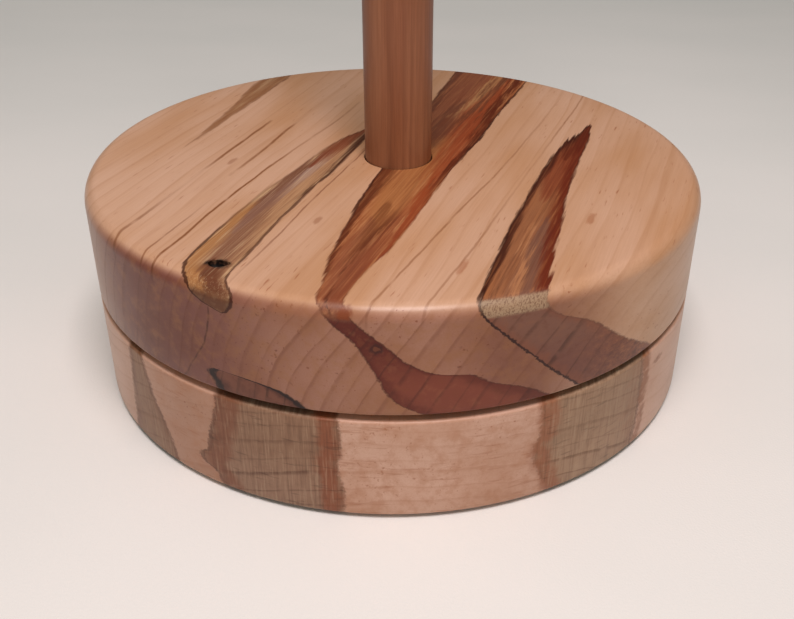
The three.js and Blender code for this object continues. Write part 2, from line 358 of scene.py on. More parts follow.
class Effects:
    """The shader effects that more than one finish uses."""

    def __init__(self) -> None:
        """Builds each effect once."""
        self.timber = self.make_timber()
        self.rings = self.make_rings()
        self.flecks = self.make_flecks()
        self.fibre = self.make_fibre()
        self.figure = self.make_figure()
        self.stripe = self.make_stripe()
        self.cut = self.make_cut()
        self.plating = self.make_plating()

    @staticmethod
    def make_timber() -> Effect:
        """Places a point in a board: along the grain, across it and down from the board's face.

        Returns:
            The group, with the place along, across and down the board.
        """
        effect = Effect(
            "board position",
            {"Point": Kind.VECTOR, "Heading": 0.0, "Face Height": 0.0},
            {"Along": Kind.NUMBER, "Across": Kind.NUMBER, "Depth": Kind.NUMBER},
        )
        g, source = effect.graph, effect.source
        x, y, z = (g.times(part, 1 / MM) for part in g.split(source["Point"]))
        turn = g.math("RADIANS", source["Heading"])
        sine, cosine = g.math("SINE", turn), g.math("COSINE", turn)
        effect.give(
            Along=g.math("ADD", g.times(x, sine), g.times(y, cosine)),
            Across=g.math("SUBTRACT", g.times(x, cosine), g.times(y, sine)),
            Depth=g.math("SUBTRACT", source["Face Height"], z),
        )
        return effect

    @staticmethod
    def make_rings() -> Effect:
        """Growth rings round a pith line outside the piece, each ending in a thin dark line.

        Returns:
            The group, with the dark line and the tone between two lines.
        """
        effect = Effect(
            "growth rings",
            {"Along": 0.0, "Across": 0.0, "Depth": 0.0, "Pith Across": 0.0, "Pith Depth": 0.0,
             "Spacing": 4.0, "Wander": 3.0},
            {"Line": Kind.NUMBER, "Tone": Kind.NUMBER},
        )
        g, source = effect.graph, effect.source
        along, across, depth = source["Along"], source["Across"], source["Depth"]
        slow = g.noise(g.point(g.times(along, 0.011), g.times(across, 0.03), g.times(depth, 0.03)), 1.0)
        quick = g.noise(g.point(g.times(along, 0.05), g.times(across, 0.25), g.times(depth, 0.25)), 1.0)
        side = g.math("SUBTRACT", across, source["Pith Across"])
        down = g.math("SUBTRACT", depth, source["Pith Depth"])
        radius = g.math("SQRT", g.math("ADD", g.times(side, side), g.times(down, down)))
        warp = g.math("ADD", g.times(g.fit(slow, -1.5, 1.5), source["Wander"]), g.fit(quick, -0.2, 0.2))
        count = g.math("DIVIDE", g.math("ADD", radius, warp), source["Spacing"])
        uneven = g.noise(g.point(g.times(count, 0.45), 3.0, 7.0), 1.0)
        count = g.math("ADD", count, g.fit(uneven, -0.9, 0.9))
        place = g.math("FRACT", count)
        chance = g.add("ShaderNodeTexWhiteNoise", noise_dimensions="1D")
        g.feed(chance.inputs["W"], g.math("FLOOR", count))
        strength = g.fit(chance.outputs["Value"], 0.4, 1.0)
        line = g.times(g.step(place, 0.78, 0.92), g.step(place, 1.0, 0.95))
        broken = g.noise(g.point(g.times(along, 0.06), g.times(across, 0.3), g.times(depth, 0.3)), 2.0)
        effect.give(
            Line=g.times(line, strength, g.step(broken, 0.26, 0.5)),
            Tone=g.times(g.step(place, 0.1, 0.9), strength),
        )
        return effect

    @staticmethod
    def make_flecks() -> Effect:
        """Short marks that lie along the grain and show as dots where it is cut across.

        Returns:
            The group, with the marks' mask.
        """
        effect = Effect(
            "flecks",
            {"Along": 0.0, "Across": 0.0, "Depth": 0.0, "Length": 6.0, "Width": 0.6, "Amount": 0.3},
            {"Mask": Kind.NUMBER},
        )
        g, source = effect.graph, effect.source
        vector = g.point(
            g.math("DIVIDE", source["Along"], source["Length"]),
            g.math("DIVIDE", source["Across"], source["Width"]),
            g.math("DIVIDE", source["Depth"], source["Width"]),
        )
        threshold = g.math("SUBTRACT", 0.86, g.times(source["Amount"], 0.3))
        marks = g.step(g.noise(vector, 1.5, 0.6), threshold, g.math("ADD", threshold, 0.13))
        patches = g.noise(g.point(g.times(source["Along"], 0.03), g.times(source["Across"], 0.06),
                                  g.times(source["Depth"], 0.06)), 1.0)
        effect.give(Mask=g.times(marks, g.step(patches, 0.36, 0.62)))
        return effect

    @staticmethod
    def make_fibre() -> Effect:
        """Fine fibres along the grain, coarse and fine together.

        Returns:
            The group, with fine and coarse fibre.
        """
        effect = Effect(
            "fibre",
            {"Along": 0.0, "Across": 0.0, "Depth": 0.0, "Width": 0.6},
            {"Fine": Kind.NUMBER, "Coarse": Kind.NUMBER},
        )
        g, source = effect.graph, effect.source
        across = g.math("DIVIDE", source["Across"], source["Width"])
        depth = g.math("DIVIDE", source["Depth"], source["Width"])
        fine = g.noise(g.point(g.times(source["Along"], 0.07), across, depth), 3.0, 0.6)
        coarse = g.noise(
            g.point(g.times(source["Along"], 0.018), g.times(across, 0.22), g.times(depth, 0.22)), 2.0
        )
        effect.give(Fine=g.step(fine, 0.3, 0.7), Coarse=g.step(coarse, 0.3, 0.7))
        return effect

    @staticmethod
    def make_figure() -> Effect:
        """A coloured band through the wood between a ragged left and right edge, with a line along each.

        Returns:
            The group, with the band's mask, its two lines and the share across it.
        """
        effect = Effect(
            "figure",
            {"Along": 0.0, "Across": 0.0, "Depth": 0.0, "Left": 0.0, "Right": 0.0,
             "Ragged": 0.6, "Softness": 0.3, "Line Width": 0.5},
            {"Mask": Kind.NUMBER, "Left Line": Kind.NUMBER, "Right Line": Kind.NUMBER, "Share": Kind.NUMBER},
        )
        g, source = effect.graph, effect.source
        along, across, depth = source["Along"], source["Across"], source["Depth"]
        wander = g.noise(g.point(g.times(along, 0.07), g.times(across, 0.16), g.times(depth, 0.16)), 2.0)
        teeth = g.noise(g.point(g.times(along, 0.13), g.times(across, 1.1), g.times(depth, 1.1)), 2.0, 0.6)
        ragged = g.times(g.math("ADD", g.fit(wander, -1.2, 1.2), g.fit(teeth, -2.6, 2.6)), source["Ragged"])
        from_left = g.math("SUBTRACT", across, source["Left"])
        left = g.math("ADD", from_left, ragged)
        right = g.math("ADD", g.math("SUBTRACT", source["Right"], across), ragged)
        low = g.math("SUBTRACT", 0.0, source["Softness"])
        thin = g.times(source["Line Width"], 0.2)
        uneven = g.fit(
            g.noise(g.point(g.times(along, 0.12), g.times(across, 0.5), g.times(depth, 0.5)), 1.0), 0.3, 1.7
        )
        wide = g.times(source["Line Width"], uneven)
        lines = [
            g.times(
                g.step(g.math("ABSOLUTE", g.math("SUBTRACT", side, thin)), wide, g.times(wide, 0.35)),
                g.step(other, low, source["Softness"]),
            )
            for side, other in ((left, right), (right, left))
        ]
        effect.give(
            Mask=g.step(g.math("MINIMUM", left, right), low, source["Softness"]),
            Left_Line=lines[0],
            Right_Line=lines[1],
            Share=g.math("DIVIDE", from_left, g.math("SUBTRACT", source["Right"], source["Left"])),
        )
        return effect

    @staticmethod
    def make_stripe() -> Effect:
        """One stripe along the grain inside a band, with a fibrous edge.

        Returns:
            The group, with the stripe's mask.
        """
        effect = Effect(
            "stripe",
            {"Share": 0.0, "Centre": 0.5, "Half Width": 0.1, "Fibre": 0.5, "Depth": 0.0},
            {"Mask": Kind.NUMBER},
        )
        g, source = effect.graph, effect.source
        away = g.math("ABSOLUTE", g.math("SUBTRACT", source["Share"], source["Centre"]))
        away = g.math("ADD", away, g.fit(source["Fibre"], -0.3, 0.3))
        wide = source["Half Width"]
        mask = g.step(away, g.math("MULTIPLY_ADD", wide, 1.5, 0.05), g.times(wide, 0.3))
        effect.give(Mask=g.times(mask, g.step(wide, 0.0, 0.03), g.step(source["Depth"], 3.4, 1.6)))
        return effect

    @staticmethod
    def make_cut() -> Effect:
        """How squarely a surface is cut across the grain: 1 on end grain and 0 along it.

        Returns:
            The group, with the share of end grain.
        """
        effect = Effect(
            "end grain", {"Normal": Kind.VECTOR, "Heading": 0.0}, {"Share": Kind.NUMBER}
        )
        g, source = effect.graph, effect.source
        x, y, _ = g.split(source["Normal"])
        turn = g.math("RADIANS", source["Heading"])
        facing = g.math("ADD", g.times(x, g.math("SINE", turn)), g.times(y, g.math("COSINE", turn)))
        effect.give(Share=g.math("POWER", g.math("ABSOLUTE", facing), 1.5))
        return effect

    @staticmethod
    def make_plating() -> Effect:
        """Mottle and fine rolling marks of plated or plain metal and of moulded plastic.

        Returns:
            The group, with mottle and scratches.
        """
        effect = Effect(
            "plating",
            {"Point": Kind.VECTOR, "Mottle Size": 6.0, "Scratch Size": 0.4},
            {"Mottle": Kind.NUMBER, "Scratches": Kind.NUMBER},
        )
        g, source = effect.graph, effect.source
        x, y, z = (g.times(part, 1 / MM) for part in g.split(source["Point"]))
        parts = [g.math("DIVIDE", part, source["Mottle Size"]) for part in (x, y, z)]
        fine = [g.math("DIVIDE", part, source["Scratch Size"]) for part in (x, y, z)]
        scratches = g.noise(g.point(g.times(fine[0], 0.06), fine[1], fine[2]), 3.0, 0.6)
        effect.give(
            Mottle=g.step(g.noise(g.point(*parts), 3.0), 0.3, 0.7), Scratches=g.step(scratches, 0.35, 0.7)
        )
        return effect


# --------------------------------------------------------------------------------------------------
# Finishes
# --------------------------------------------------------------------------------------------------


class Surface:
    """A new material with one Principled shader, and the graph that feeds it."""

    def __init__(self, name: str) -> None:
        """Makes the material and clears its tree.

        Args:
            name: The material's name.
        """
        self.material = bpy.data.materials.new(name)
        self.material.use_nodes = True
        self.material.node_tree.nodes.clear()
        self.graph = Graph(self.material.node_tree)
        self.shader = self.graph.add("ShaderNodeBsdfPrincipled")
        out = self.graph.add("ShaderNodeOutputMaterial")
        self.graph.feed(out.inputs["Surface"], self.shader.outputs["BSDF"])
        self.place = self.graph.add("ShaderNodeTexCoord").outputs

    def dress(
        self, base: Value, roughness: Value, height: Socket | None = None, rise: float = 0.02, **fixed: Value
    ) -> bpy.types.Material:
        """Feeds the shader.

        Args:
            base: The colour.
            roughness: The roughness.
            height: Relief from 0 to 1, if there is any.
            rise: How high the relief stands, in millimetres.
            fixed: Constants for other sockets, with underscores in place of spaces.

        Returns:
            The finished material.
        """
        self.graph.feed(self.shader.inputs["Base Color"], base)
        self.graph.feed(self.shader.inputs["Roughness"], roughness)
        if height is not None:
            bump = self.graph.add("ShaderNodeBump")
            bump.inputs["Strength"].default_value = 1.0
            bump.inputs["Distance"].default_value = rise * MM
            self.graph.feed(bump.inputs["Height"], height)
            self.graph.feed(self.shader.inputs["Normal"], bump.outputs["Normal"])
        for title, value in fixed.items():
            self.shader.inputs[title.replace("_", " ")].default_value = value
        return self.material


@dataclass(frozen=True)
class Stripe:
    """One stripe inside a streak.

    Attributes:
        tint: Its colour.
        centre: Where its middle lies between the streak's edges, from 0 to 1, at places along the grain.
        width: Half its width in the same measure, at places along the grain.
        strength: How strongly it shows.
    """

    tint: str
    centre: Trace
    width: Trace
    strength: float = 0.9


@dataclass(frozen=True)
class Streak:
    """One coloured streak through a disc: its edges, how they lean with depth, and its colours.

    Attributes:
        left: The left edge on the disc's face, across the grain at places along it.
        right: The right edge, the same way.
        left_lean: How far the left edge has moved across at depths below the face.
        right_lean: How far the right edge has.
        tints: Its darker, main and paler fibre colours.
        deep: Its colours high and low on the side of the disc.
        border: Its colour along both edges on the side of the disc.
        line: Colour of the lines along its edges.
        left_line: How strongly the left line shows, at places along the grain.
        right_line: How strongly the right line shows.
        side_lines: How strongly the left and right lines show on the side of the disc.
        stripes: Stripes inside it, the lowest first.
        rim: How much of it fades to pale speckled wood on the rounded rim.
        ragged: How far its edges wander.
        splinter: Reach of the splinters along its edges and at its ends.
        softness: Half the width over which its edges fade.
        line_width: Width of the lines.
        fibre_width: Width of its fibres.
        turn: Depth at which the side's colours take over.
    """

    left: Trace
    right: Trace
    left_lean: Trace
    right_lean: Trace
    tints: tuple[str, str, str]
    deep: tuple[str, str]
    border: str
    line: str
    left_line: Trace
    right_line: Trace
    side_lines: tuple[float, float] = (0.7, 0.7)
    stripes: tuple[Stripe, ...] = ()
    rim: float = 0.0
    ragged: float = 0.3
    splinter: float = 4.0
    softness: float = 0.35
    line_width: float = 0.5
    fibre_width: float = 1.6
    turn: float = 2.6

    def lay(
        self, g: Graph, effects: Effects, board: dict[str, Socket], under: Socket, ring: Socket, ends: Socket
    ) -> tuple[Socket, Socket]:
        """Lays the streak over the wood's colour.

        Args:
            g: The material's graph.
            effects: The shared effects.
            board: Position along, across and down the board.
            under: The wood's colour so far.
            ring: The rings' dark lines.
            ends: Share of end grain.

        Returns:
            The colour with the streak, and the streak's mask.
        """
        along, across, depth = board["Along"], board["Across"], board["Depth"]
        steps = g.noise(g.point(g.times(along, 0.012), g.times(across, 0.85), g.times(depth, 0.85)), 1.5, 0.6)
        slide = g.times(g.fit(steps, -self.splinter, self.splinter), g.step(depth, 2.2, 0.2))
        slid = g.math("ADD", along, slide)
        shape = effects.figure.place(
            g, Along=along, Across=across, Depth=depth,
            Left=g.math("ADD", g.follow(slid, self.left), g.follow(depth, self.left_lean)),
            Right=g.math("ADD", g.follow(slid, self.right), g.follow(depth, self.right_lean)),
            Ragged=self.ragged, Softness=self.softness, Line_Width=self.line_width,
        )
        thin = 1 / self.fibre_width
        fibre = g.noise(g.point(g.times(along, 0.035), g.times(across, thin), g.times(depth, thin)), 4.0, 0.7)
        dark, middle, light = self.tints
        core = g.mix(g.step(fibre, 0.5, 0.66), colour(middle), colour(light))
        core = g.mix(g.step(fibre, 0.5, 0.34), core, colour(dark))
        for stripe in self.stripes:
            mask = effects.stripe.place(
                g, Share=shape["Share"], Centre=g.follow(along, stripe.centre),
                Half_Width=g.follow(along, stripe.width), Fibre=fibre, Depth=depth,
            )["Mask"]
            core = g.mix(g.times(mask, stripe.strength), core, colour(stripe.tint))
        fine = 1 / (self.fibre_width * 0.28)
        hair = g.noise(g.point(g.times(along, 0.045), g.times(across, fine), g.times(depth, fine)), 2.0, 0.6)
        core = g.mix(g.times(g.step(hair, 0.54, 0.32), 0.42), core, colour(dark))
        core = g.mix(g.times(g.step(hair, 0.5, 0.7), 0.35), core, colour(light))

        patches = g.noise(
            g.point(g.times(along, 0.05), g.times(across, 0.35), g.times(depth, 0.35)), 3.0, 0.6
        )
        side = g.mix(g.step(depth, 9.0, 22.0), colour(self.deep[0]), colour(self.deep[1]))
        side = g.mix(g.times(g.step(patches, 0.5, 0.7), 0.14), side, colour(light))
        side = g.mix(g.times(g.step(patches, 0.5, 0.32), 0.35), side, colour(dark))
        off_centre = g.math("ABSOLUTE", g.math("SUBTRACT", shape["Share"], 0.5))
        edge = g.step(g.math("ADD", off_centre, g.fit(patches, -0.25, 0.25)), 0.26, 0.5)
        side = g.mix(g.times(edge, 0.7), side, colour(self.border))
        past = g.times(g.step(depth, self.turn - 1.0, self.turn + 0.8), g.step(ends, 0.25, 0.6))
        core = g.mix(past, core, side)
        core = g.mix(g.times(ring, 0.55, g.fit(past, 0.3, 1.0)), core, colour(self.line))

        if self.rim:
            speckle = g.noise(
                g.point(g.times(along, 0.8), g.times(across, 3.2), g.times(depth, 1.8)), 3.0, 0.7
            )
            pale = g.mix(g.step(speckle, 0.56, 0.36), colour("a3876a"), colour("785a45"))
            zone = g.times(g.step(depth, 0.1, 0.5), g.step(depth, 4.2, 3.2), g.step(ends, 0.1, 0.3), self.rim)
            core = g.mix(zone, core, pale)

        laid = g.mix(shape["Mask"], under, core)
        for line, strength, low in (
            (shape["Left Line"], self.left_line, self.side_lines[0]),
            (shape["Right Line"], self.right_line, self.side_lines[1]),
        ):
            shown = g.math("ADD", g.follow(along, strength), g.times(past, low))
            laid = g.mix(g.times(line, g.math("MINIMUM", shown, 0.95)), laid, colour(self.line))
        return laid, shape["Mask"]


@dataclass(frozen=True)
class GrainLine:
    """A single brown growth line that stands out.

    Attributes:
        across: Where it lies across the grain, at places along it.
        shown: How strongly it shows, at places along the grain.
        lean: How far it has moved across at depths below the face.
        deep_shown: How strongly it shows at depths below the face.
        width: Its width.
        tint: Its colour.
        wander: How far it strays.
    """

    across: Trace
    shown: Trace
    lean: Trace = Trace(((0.0, 0.0), (30.0, 0.0)))
    deep_shown: Trace = Trace(((0.0, 1.0), (4.0, 0.5), (8.0, 0.0), (30.0, 0.0)))
    width: float = 0.45
    tint: str = "85532f"
    wander: float = 0.45

    def lay(self, g: Graph, board: dict[str, Socket], under: Socket) -> Socket:
        """Lays the line over the wood's colour.

        Args:
            g: The material's graph.
            board: Position along, across and down the board.
            under: The wood's colour so far.

        Returns:
            The colour with the line.
        """
        along, across, depth = board["Along"], board["Across"], board["Depth"]
        place = g.math("ADD", g.follow(along, self.across), g.follow(depth, self.lean))
        wander = g.noise(g.point(g.times(along, 0.1), g.times(across, 0.2), g.times(depth, 0.3)), 3.0, 0.6)
        away = g.math(
            "ABSOLUTE", g.sum(g.math("SUBTRACT", across, place), g.fit(wander, -self.wander, self.wander))
        )
        broken = g.noise(g.point(g.times(along, 0.13), g.times(across, 0.4), g.times(depth, 0.4)), 2.0)
        shown = g.times(
            g.follow(along, self.shown), g.follow(depth, self.deep_shown), g.step(broken, 0.15, 0.5)
        )
        return g.mix(g.times(g.step(away, self.width, self.width * 0.25), shown), under, colour(self.tint))


@dataclass(frozen=True)
class Spot:
    """A small eye or dark pith fleck in the wood.

    Attributes:
        centre: Its place along, across and down the board.
        reach: Its half length in the same three directions.
        tint: Its colour.
        eye: Colour inside it, where it is a ring.
        strength: How strongly it shows.
    """

    centre: tuple[float, float, float]
    reach: tuple[float, float, float]
    tint: str
    eye: str | None = None
    strength: float = 0.8

    def lay(self, g: Graph, board: dict[str, Socket], under: Socket) -> Socket:
        """Lays the spot over the wood's colour.

        Args:
            g: The material's graph.
            board: Position along, across and down the board.
            under: The wood's colour so far.

        Returns:
            The colour with the spot.
        """
        parts = (board["Along"], board["Across"], board["Depth"])
        scaled = [g.times(g.math("SUBTRACT", part, at), 1 / reach) for part, at, reach in
                  zip(parts, self.centre, self.reach)]
        away = g.math("SQRT", g.sum(*(g.times(part, part) for part in scaled)))
        uneven = g.noise(g.point(g.times(parts[0], 0.4), g.times(parts[1], 0.9), g.times(parts[2], 0.9)), 2.0)
        away = g.math("ADD", away, g.fit(uneven, -0.6, 0.6))
        laid = g.mix(g.times(g.step(away, 1.35, 0.6), self.strength), under, colour(self.tint))
        if self.eye is None:
            return laid
        return g.mix(g.times(g.step(away, 0.62, 0.35), self.strength), laid, colour(self.eye))


@dataclass(frozen=True)
class DiscWood:
    """Varnished spalted maple of one disc.

    Attributes:
        name: The material's name.
        heading: Direction of the grain, in degrees clockwise from straight back.
        face_height: Height of the disc's upper face.
        pale: The plain wood's lighter colour.
        honey: The plain wood's warmer colour.
        end_tint: What the colour is multiplied by on end grain.
        painted_side_shade: How strongly painted shade darkens the side's end grain, across the grain.
        painted_shade_tint: What the colour is multiplied by where the painted shade lies.
        end_dark: Colour of the rings and dots on end grain.
        ring_share: How strongly the rings show on end grain.
        ring_dark: Colour of the ring lines.
        fleck_dark: Colour of the flecks.
        pith: Where the rings' centre lies, across and below the face.
        spacing: Distance between rings.
        streaks: The coloured streaks, the lowest first.
        lines: Single growth lines.
        spots: Eyes and pith flecks.
        bands: Wider bands laid over the streaks.
        roughness: The varnish's roughness.
        rays: How strongly fine upright ray lines show on the end grain in the streaks.
        dashes: How strongly dashes along the rings show on the end grain.
    """

    name: str
    heading: float
    face_height: float
    pale: str
    honey: str
    end_tint: str
    painted_side_shade: Trace
    painted_shade_tint: str
    end_dark: str
    ring_share: float
    ring_dark: str
    fleck_dark: str
    pith: tuple[float, float]
    spacing: float
    streaks: tuple[Streak, ...]
    lines: tuple[GrainLine, ...] = ()
    spots: tuple[Spot, ...] = ()
    bands: tuple[GrainLine, ...] = ()
    roughness: float = 0.33
    rays: float = 0.0
    dashes: float = 0.0

    def plain(self, g: Graph, effects: Effects, board: dict[str, Socket], rings: dict[str, Socket]) -> Socket:
        """Colours the plain wood along its grain.

        Args:
            g: The material's graph.
            effects: The shared effects.
            board: Position along, across and down the board.
            rings: The growth rings.

        Returns:
            The colour.
        """
        fibre = effects.fibre.place(g, **board, Width=0.4)
        flecks = effects.flecks.place(g, **board, Length=7.0, Width=0.85, Amount=0.76)["Mask"]
        cloudy = g.noise(g.point(g.times(board["Along"], 0.013), g.times(board["Across"], 0.045),
                                 g.times(board["Depth"], 0.045)), 2.0)
        wood = g.mix(g.step(cloudy, 0.34, 0.68), colour(self.pale), colour(self.honey))
        wood = g.mix(g.times(rings["Tone"], 0.32), wood, colour(self.honey))
        wood = g.mix(g.times(fibre["Fine"], 0.15), wood, colour(self.ring_dark))
        wood = g.mix(g.times(fibre["Coarse"], 0.22), wood, colour(self.pale))
        wood = g.mix(g.times(rings["Line"], 0.22), wood, colour(self.ring_dark))
        return g.mix(g.times(flecks, 0.65), wood, colour(self.fleck_dark))

    def cut_across(self, g: Graph, effects: Effects, board: dict[str, Socket], rings: dict[str, Socket],
                   wood: Socket, ends: Socket) -> Socket:
        """Darkens the wood on its end grain, lays painted shade on the side, and adds what shows only there.

        Args:
            g: The material's graph.
            effects: The shared effects.
            board: Position along, across and down the board.
            rings: The growth rings.
            wood: The colour so far.
            ends: Share of end grain.

        Returns:
            The colour.
        """
        along, across, depth = board["Along"], board["Across"], board["Depth"]
        dark = g.step(ends, 0.28, 0.85)
        wood = g.mix(dark, wood, g.mix(1.0, wood, colour(self.end_tint), "MULTIPLY"))
        # Painted shade: the end-grain side is darkened and tinted by place across the grain, more where it
        # turns away from the light.
        shade = g.times(dark, g.follow(across, self.painted_side_shade))
        wood = g.mix(shade, wood, g.mix(1.0, wood, colour(self.painted_shade_tint), "MULTIPLY"))
        mottle = g.noise(g.point(g.times(along, 0.2), g.times(across, 0.28), g.times(depth, 0.28)), 4.0, 0.62)
        wood = g.mix(g.times(dark, g.step(mottle, 0.42, 0.7), 0.45), wood, colour(self.ring_dark))
        wood = g.mix(g.times(dark, rings["Tone"], self.ring_share * 0.45), wood, colour(self.end_dark))
        wood = g.mix(g.times(dark, rings["Line"], self.ring_share), wood, colour(self.end_dark))
        dots = effects.flecks.place(g, **board, Length=12.0, Width=1.4, Amount=0.62)["Mask"]
        small = effects.flecks.place(g, **board, Length=6.0, Width=0.75, Amount=0.42)["Mask"]
        wood = g.mix(
            g.times(g.math("MAXIMUM", dots, g.times(small, 0.5)), dark, 0.7), wood, colour(self.end_dark)
        )
        if self.dashes:
            dash = g.noise(
                g.point(g.times(along, 0.1), g.times(across, 0.13), g.times(depth, 1.25)), 2.0, 0.5
            )
            wood = g.mix(g.times(dark, g.step(dash, 0.6, 0.72), self.dashes), wood, colour(self.fleck_dark))
            grit = g.noise(g.point(g.times(along, 0.5), g.times(across, 1.1), g.times(depth, 1.6)), 3.0, 0.7)
            wood = g.mix(
                g.times(dark, g.step(grit, 0.5, 0.72), self.dashes * 0.4), wood, colour(self.ring_dark)
            )
        return wood

    def material(self, effects: Effects) -> bpy.types.Material:
        """Builds the material.

        Args:
            effects: The shared effects.

        Returns:
            The material.
        """
        surface = Surface(self.name)
        g = surface.graph
        board = effects.timber.place(
            g, Point=surface.place["Object"], Heading=self.heading, Face_Height=self.face_height
        )
        ends = effects.cut.place(g, Normal=surface.place["Normal"], Heading=self.heading)["Share"]
        rings = effects.rings.place(g, **board, Pith_Across=self.pith[0], Pith_Depth=self.pith[1],
                                    Spacing=self.spacing, Wander=2.5)
        wood = self.plain(g, effects, board, rings)
        for line in self.lines:
            wood = line.lay(g, board, wood)
        wood = self.cut_across(g, effects, board, rings, wood, ends)
        covered: Socket | float = 0.0
        for streak in self.streaks:
            wood, mask = streak.lay(g, effects, board, wood, rings["Line"], ends)
            covered = g.math("MAXIMUM", covered, mask)
        for band in self.bands:
            wood = band.lay(g, board, wood)
        for spot in self.spots:
            wood = spot.lay(g, board, wood)
        if self.rays:
            ray = g.noise(g.point(g.times(board["Along"], 0.05), g.times(board["Across"], 1.7),
                                  g.times(board["Depth"], 0.1)), 3.0, 0.6)
            rung = g.noise(g.point(g.times(board["Along"], 0.1), g.times(board["Across"], 0.16),
                                   g.times(board["Depth"], 1.5)), 2.0, 0.5)
            wood = g.mix(
                g.times(g.step(ray, 0.52, 0.68), covered, ends, self.rays * 0.5), wood, colour("b99c80")
            )
            wood = g.mix(
                g.times(g.step(ray, 0.49, 0.36), covered, ends, self.rays * 0.45), wood, colour("4d2f1e")
            )
            wood = g.mix(
                g.times(g.step(rung, 0.6, 0.72), covered, ends, self.rays * 0.6), wood, colour("3f2416")
            )
        rough = g.sum(self.roughness, g.times(covered, 0.05), g.times(rings["Line"], 0.05))
        return surface.dress(wood, rough, rings["Line"], rise=0.004, Specular_IOR_Level=0.3)


@dataclass(frozen=True)
class PostWood:
    """Varnished brown dowel with its grain upright.

    Attributes:
        pale: The lighter colour.
        brown: The main colour.
        dark: Colour of the pores and dark fibres.
    """

    pale: str = "a06847"
    brown: str = "8c5334"
    dark: str = "67361d"

    def material(self, effects: Effects) -> bpy.types.Material:
        """Builds the material.

        Args:
            effects: The shared effects.

        Returns:
            The material.
        """
        surface = Surface("dowel wood")
        g = surface.graph
        x, y, z = (g.times(part, 1 / MM) for part in g.split(surface.place["Object"]))
        fibre = effects.fibre.place(g, Along=z, Across=x, Depth=y, Width=0.5)
        rings = effects.rings.place(g, Along=z, Across=x, Depth=y, Pith_Across=31.0, Pith_Depth=18.0,
                                    Spacing=2.4, Wander=1.6)
        pores = effects.flecks.place(
            g, Along=z, Across=x, Depth=y, Length=5.0, Width=0.3, Amount=0.75
        )["Mask"]
        cloudy = g.noise(g.point(g.times(z, 0.012), g.times(x, 0.14), g.times(y, 0.14)), 2.0)
        wood = g.mix(g.step(cloudy, 0.35, 0.65), colour(self.brown), colour(self.pale))
        wood = g.mix(g.times(rings["Tone"], 0.35), wood, colour(self.dark))
        wood = g.mix(g.times(fibre["Fine"], 0.3), wood, colour(self.dark))
        wood = g.mix(g.times(fibre["Coarse"], 0.2), wood, colour(self.pale))
        wood = g.mix(g.times(pores, 0.45), wood, colour(self.dark))
        _, _, up = g.split(surface.place["Normal"])
        ends = g.step(g.math("ABSOLUTE", up), 0.5, 1.0)
        wood = g.mix(g.times(ends, 0.6), wood, g.mix(1.0, wood, colour("b98c72"), "MULTIPLY"))
        rough = g.sum(0.36, g.times(fibre["Fine"], 0.08), g.times(ends, 0.1))
        return surface.dress(wood, rough, fibre["Fine"], rise=0.01)


@dataclass(frozen=True)
class Metal:
    """Plated or plain metal of a small part.

    Attributes:
        name: The material's name.
        bright: Its colour where the plating is clean.
        dull: Its colour in the mottle.
        roughness: Its least and greatest roughness.
        mottle: Size of the mottle.
    """

    name: str
    bright: str
    dull: str
    roughness: tuple[float, float]
    mottle: float

    def material(self, effects: Effects) -> bpy.types.Material:
        """Builds the material.

        Args:
            effects: The shared effects.

        Returns:
            The material.
        """
        surface = Surface(self.name)
        g = surface.graph
        marks = effects.plating.place(
            g, Point=surface.place["Object"], Mottle_Size=self.mottle, Scratch_Size=0.35
        )
        base = g.mix(marks["Mottle"], colour(self.bright), colour(self.dull))
        base = g.mix(g.times(marks["Scratches"], 0.25), base, colour(self.dull))
        rough = g.fit(g.math("MULTIPLY", g.sum(marks["Mottle"], marks["Scratches"]), 0.5), *self.roughness)
        return surface.dress(base, rough, marks["Scratches"], rise=0.004, Metallic=1.0)


@dataclass(frozen=True)
class Nylon:
    """Natural moulded nylon of the ball cage."""

    white: str = "e6e0d2"
    shade: str = "d3cab6"

    def material(self, effects: Effects) -> bpy.types.Material:
        """Builds the material.

        Args:
            effects: The shared effects.

        Returns:
            The material.
        """
        surface = Surface("natural nylon")
        g = surface.graph
        marks = effects.plating.place(g, Point=surface.place["Object"], Mottle_Size=4.0, Scratch_Size=0.6)
        base = g.mix(marks["Mottle"], colour(self.white), colour(self.shade))
        return surface.dress(base, g.fit(marks["Scratches"], 0.42, 0.58), marks["Mottle"], rise=0.02)


@dataclass(frozen=True)
class Felt:
    """Brown pressed felt of the foot pads."""

    light: str = "7b6655"
    dark: str = "463629"

    def material(self) -> bpy.types.Material:
        """Builds the material.

        Returns:
            The material.
        """
        surface = Surface("pressed felt")
        g = surface.graph
        x, y, z = (g.times(part, 1 / MM) for part in g.split(surface.place["Object"]))
        tangle = g.noise(g.point(g.times(x, 2.2), g.times(y, 2.2), g.times(z, 2.2)), 5.0, 0.75)
        hairs = g.noise(
            g.point(g.times(g.sum(x, y), 0.9), g.times(g.math("SUBTRACT", x, y), 6.0), z), 3.0, 0.7
        )
        fuzz = g.math("MULTIPLY", g.sum(tangle, hairs), 0.5)
        base = g.mix(g.step(fuzz, 0.38, 0.62), colour(self.dark), colour(self.light))
        return surface.dress(
            base, g.fit(tangle, 0.85, 1.0), fuzz, rise=0.25, Sheen_Weight=0.3, Sheen_Roughness=0.5
        )


# --------------------------------------------------------------------------------------------------
# Mesh tools
# --------------------------------------------------------------------------------------------------


class Seam(Enum):
    """Whether a turned outline ends on the axis or comes back to its start."""

    AXIS = "axis"
    RING = "ring"


def rounding(centre: tuple[float, float], radius: float, start: float, end: float, steps: int) -> Profile:
    """Points of a round on a turned outline.

    Args:
        centre: Radius and height of the round's centre.
        radius: The round's own radius.
        start: First angle, in degrees.
        end: Last angle.
        steps: How many pieces it is made of.

    Returns:
        The points.
    """
    turns = [math.radians(start + (end - start) * i / steps) for i in range(steps + 1)]
    return [(centre[0] + radius * math.cos(t), centre[1] + radius * math.sin(t)) for t in turns]


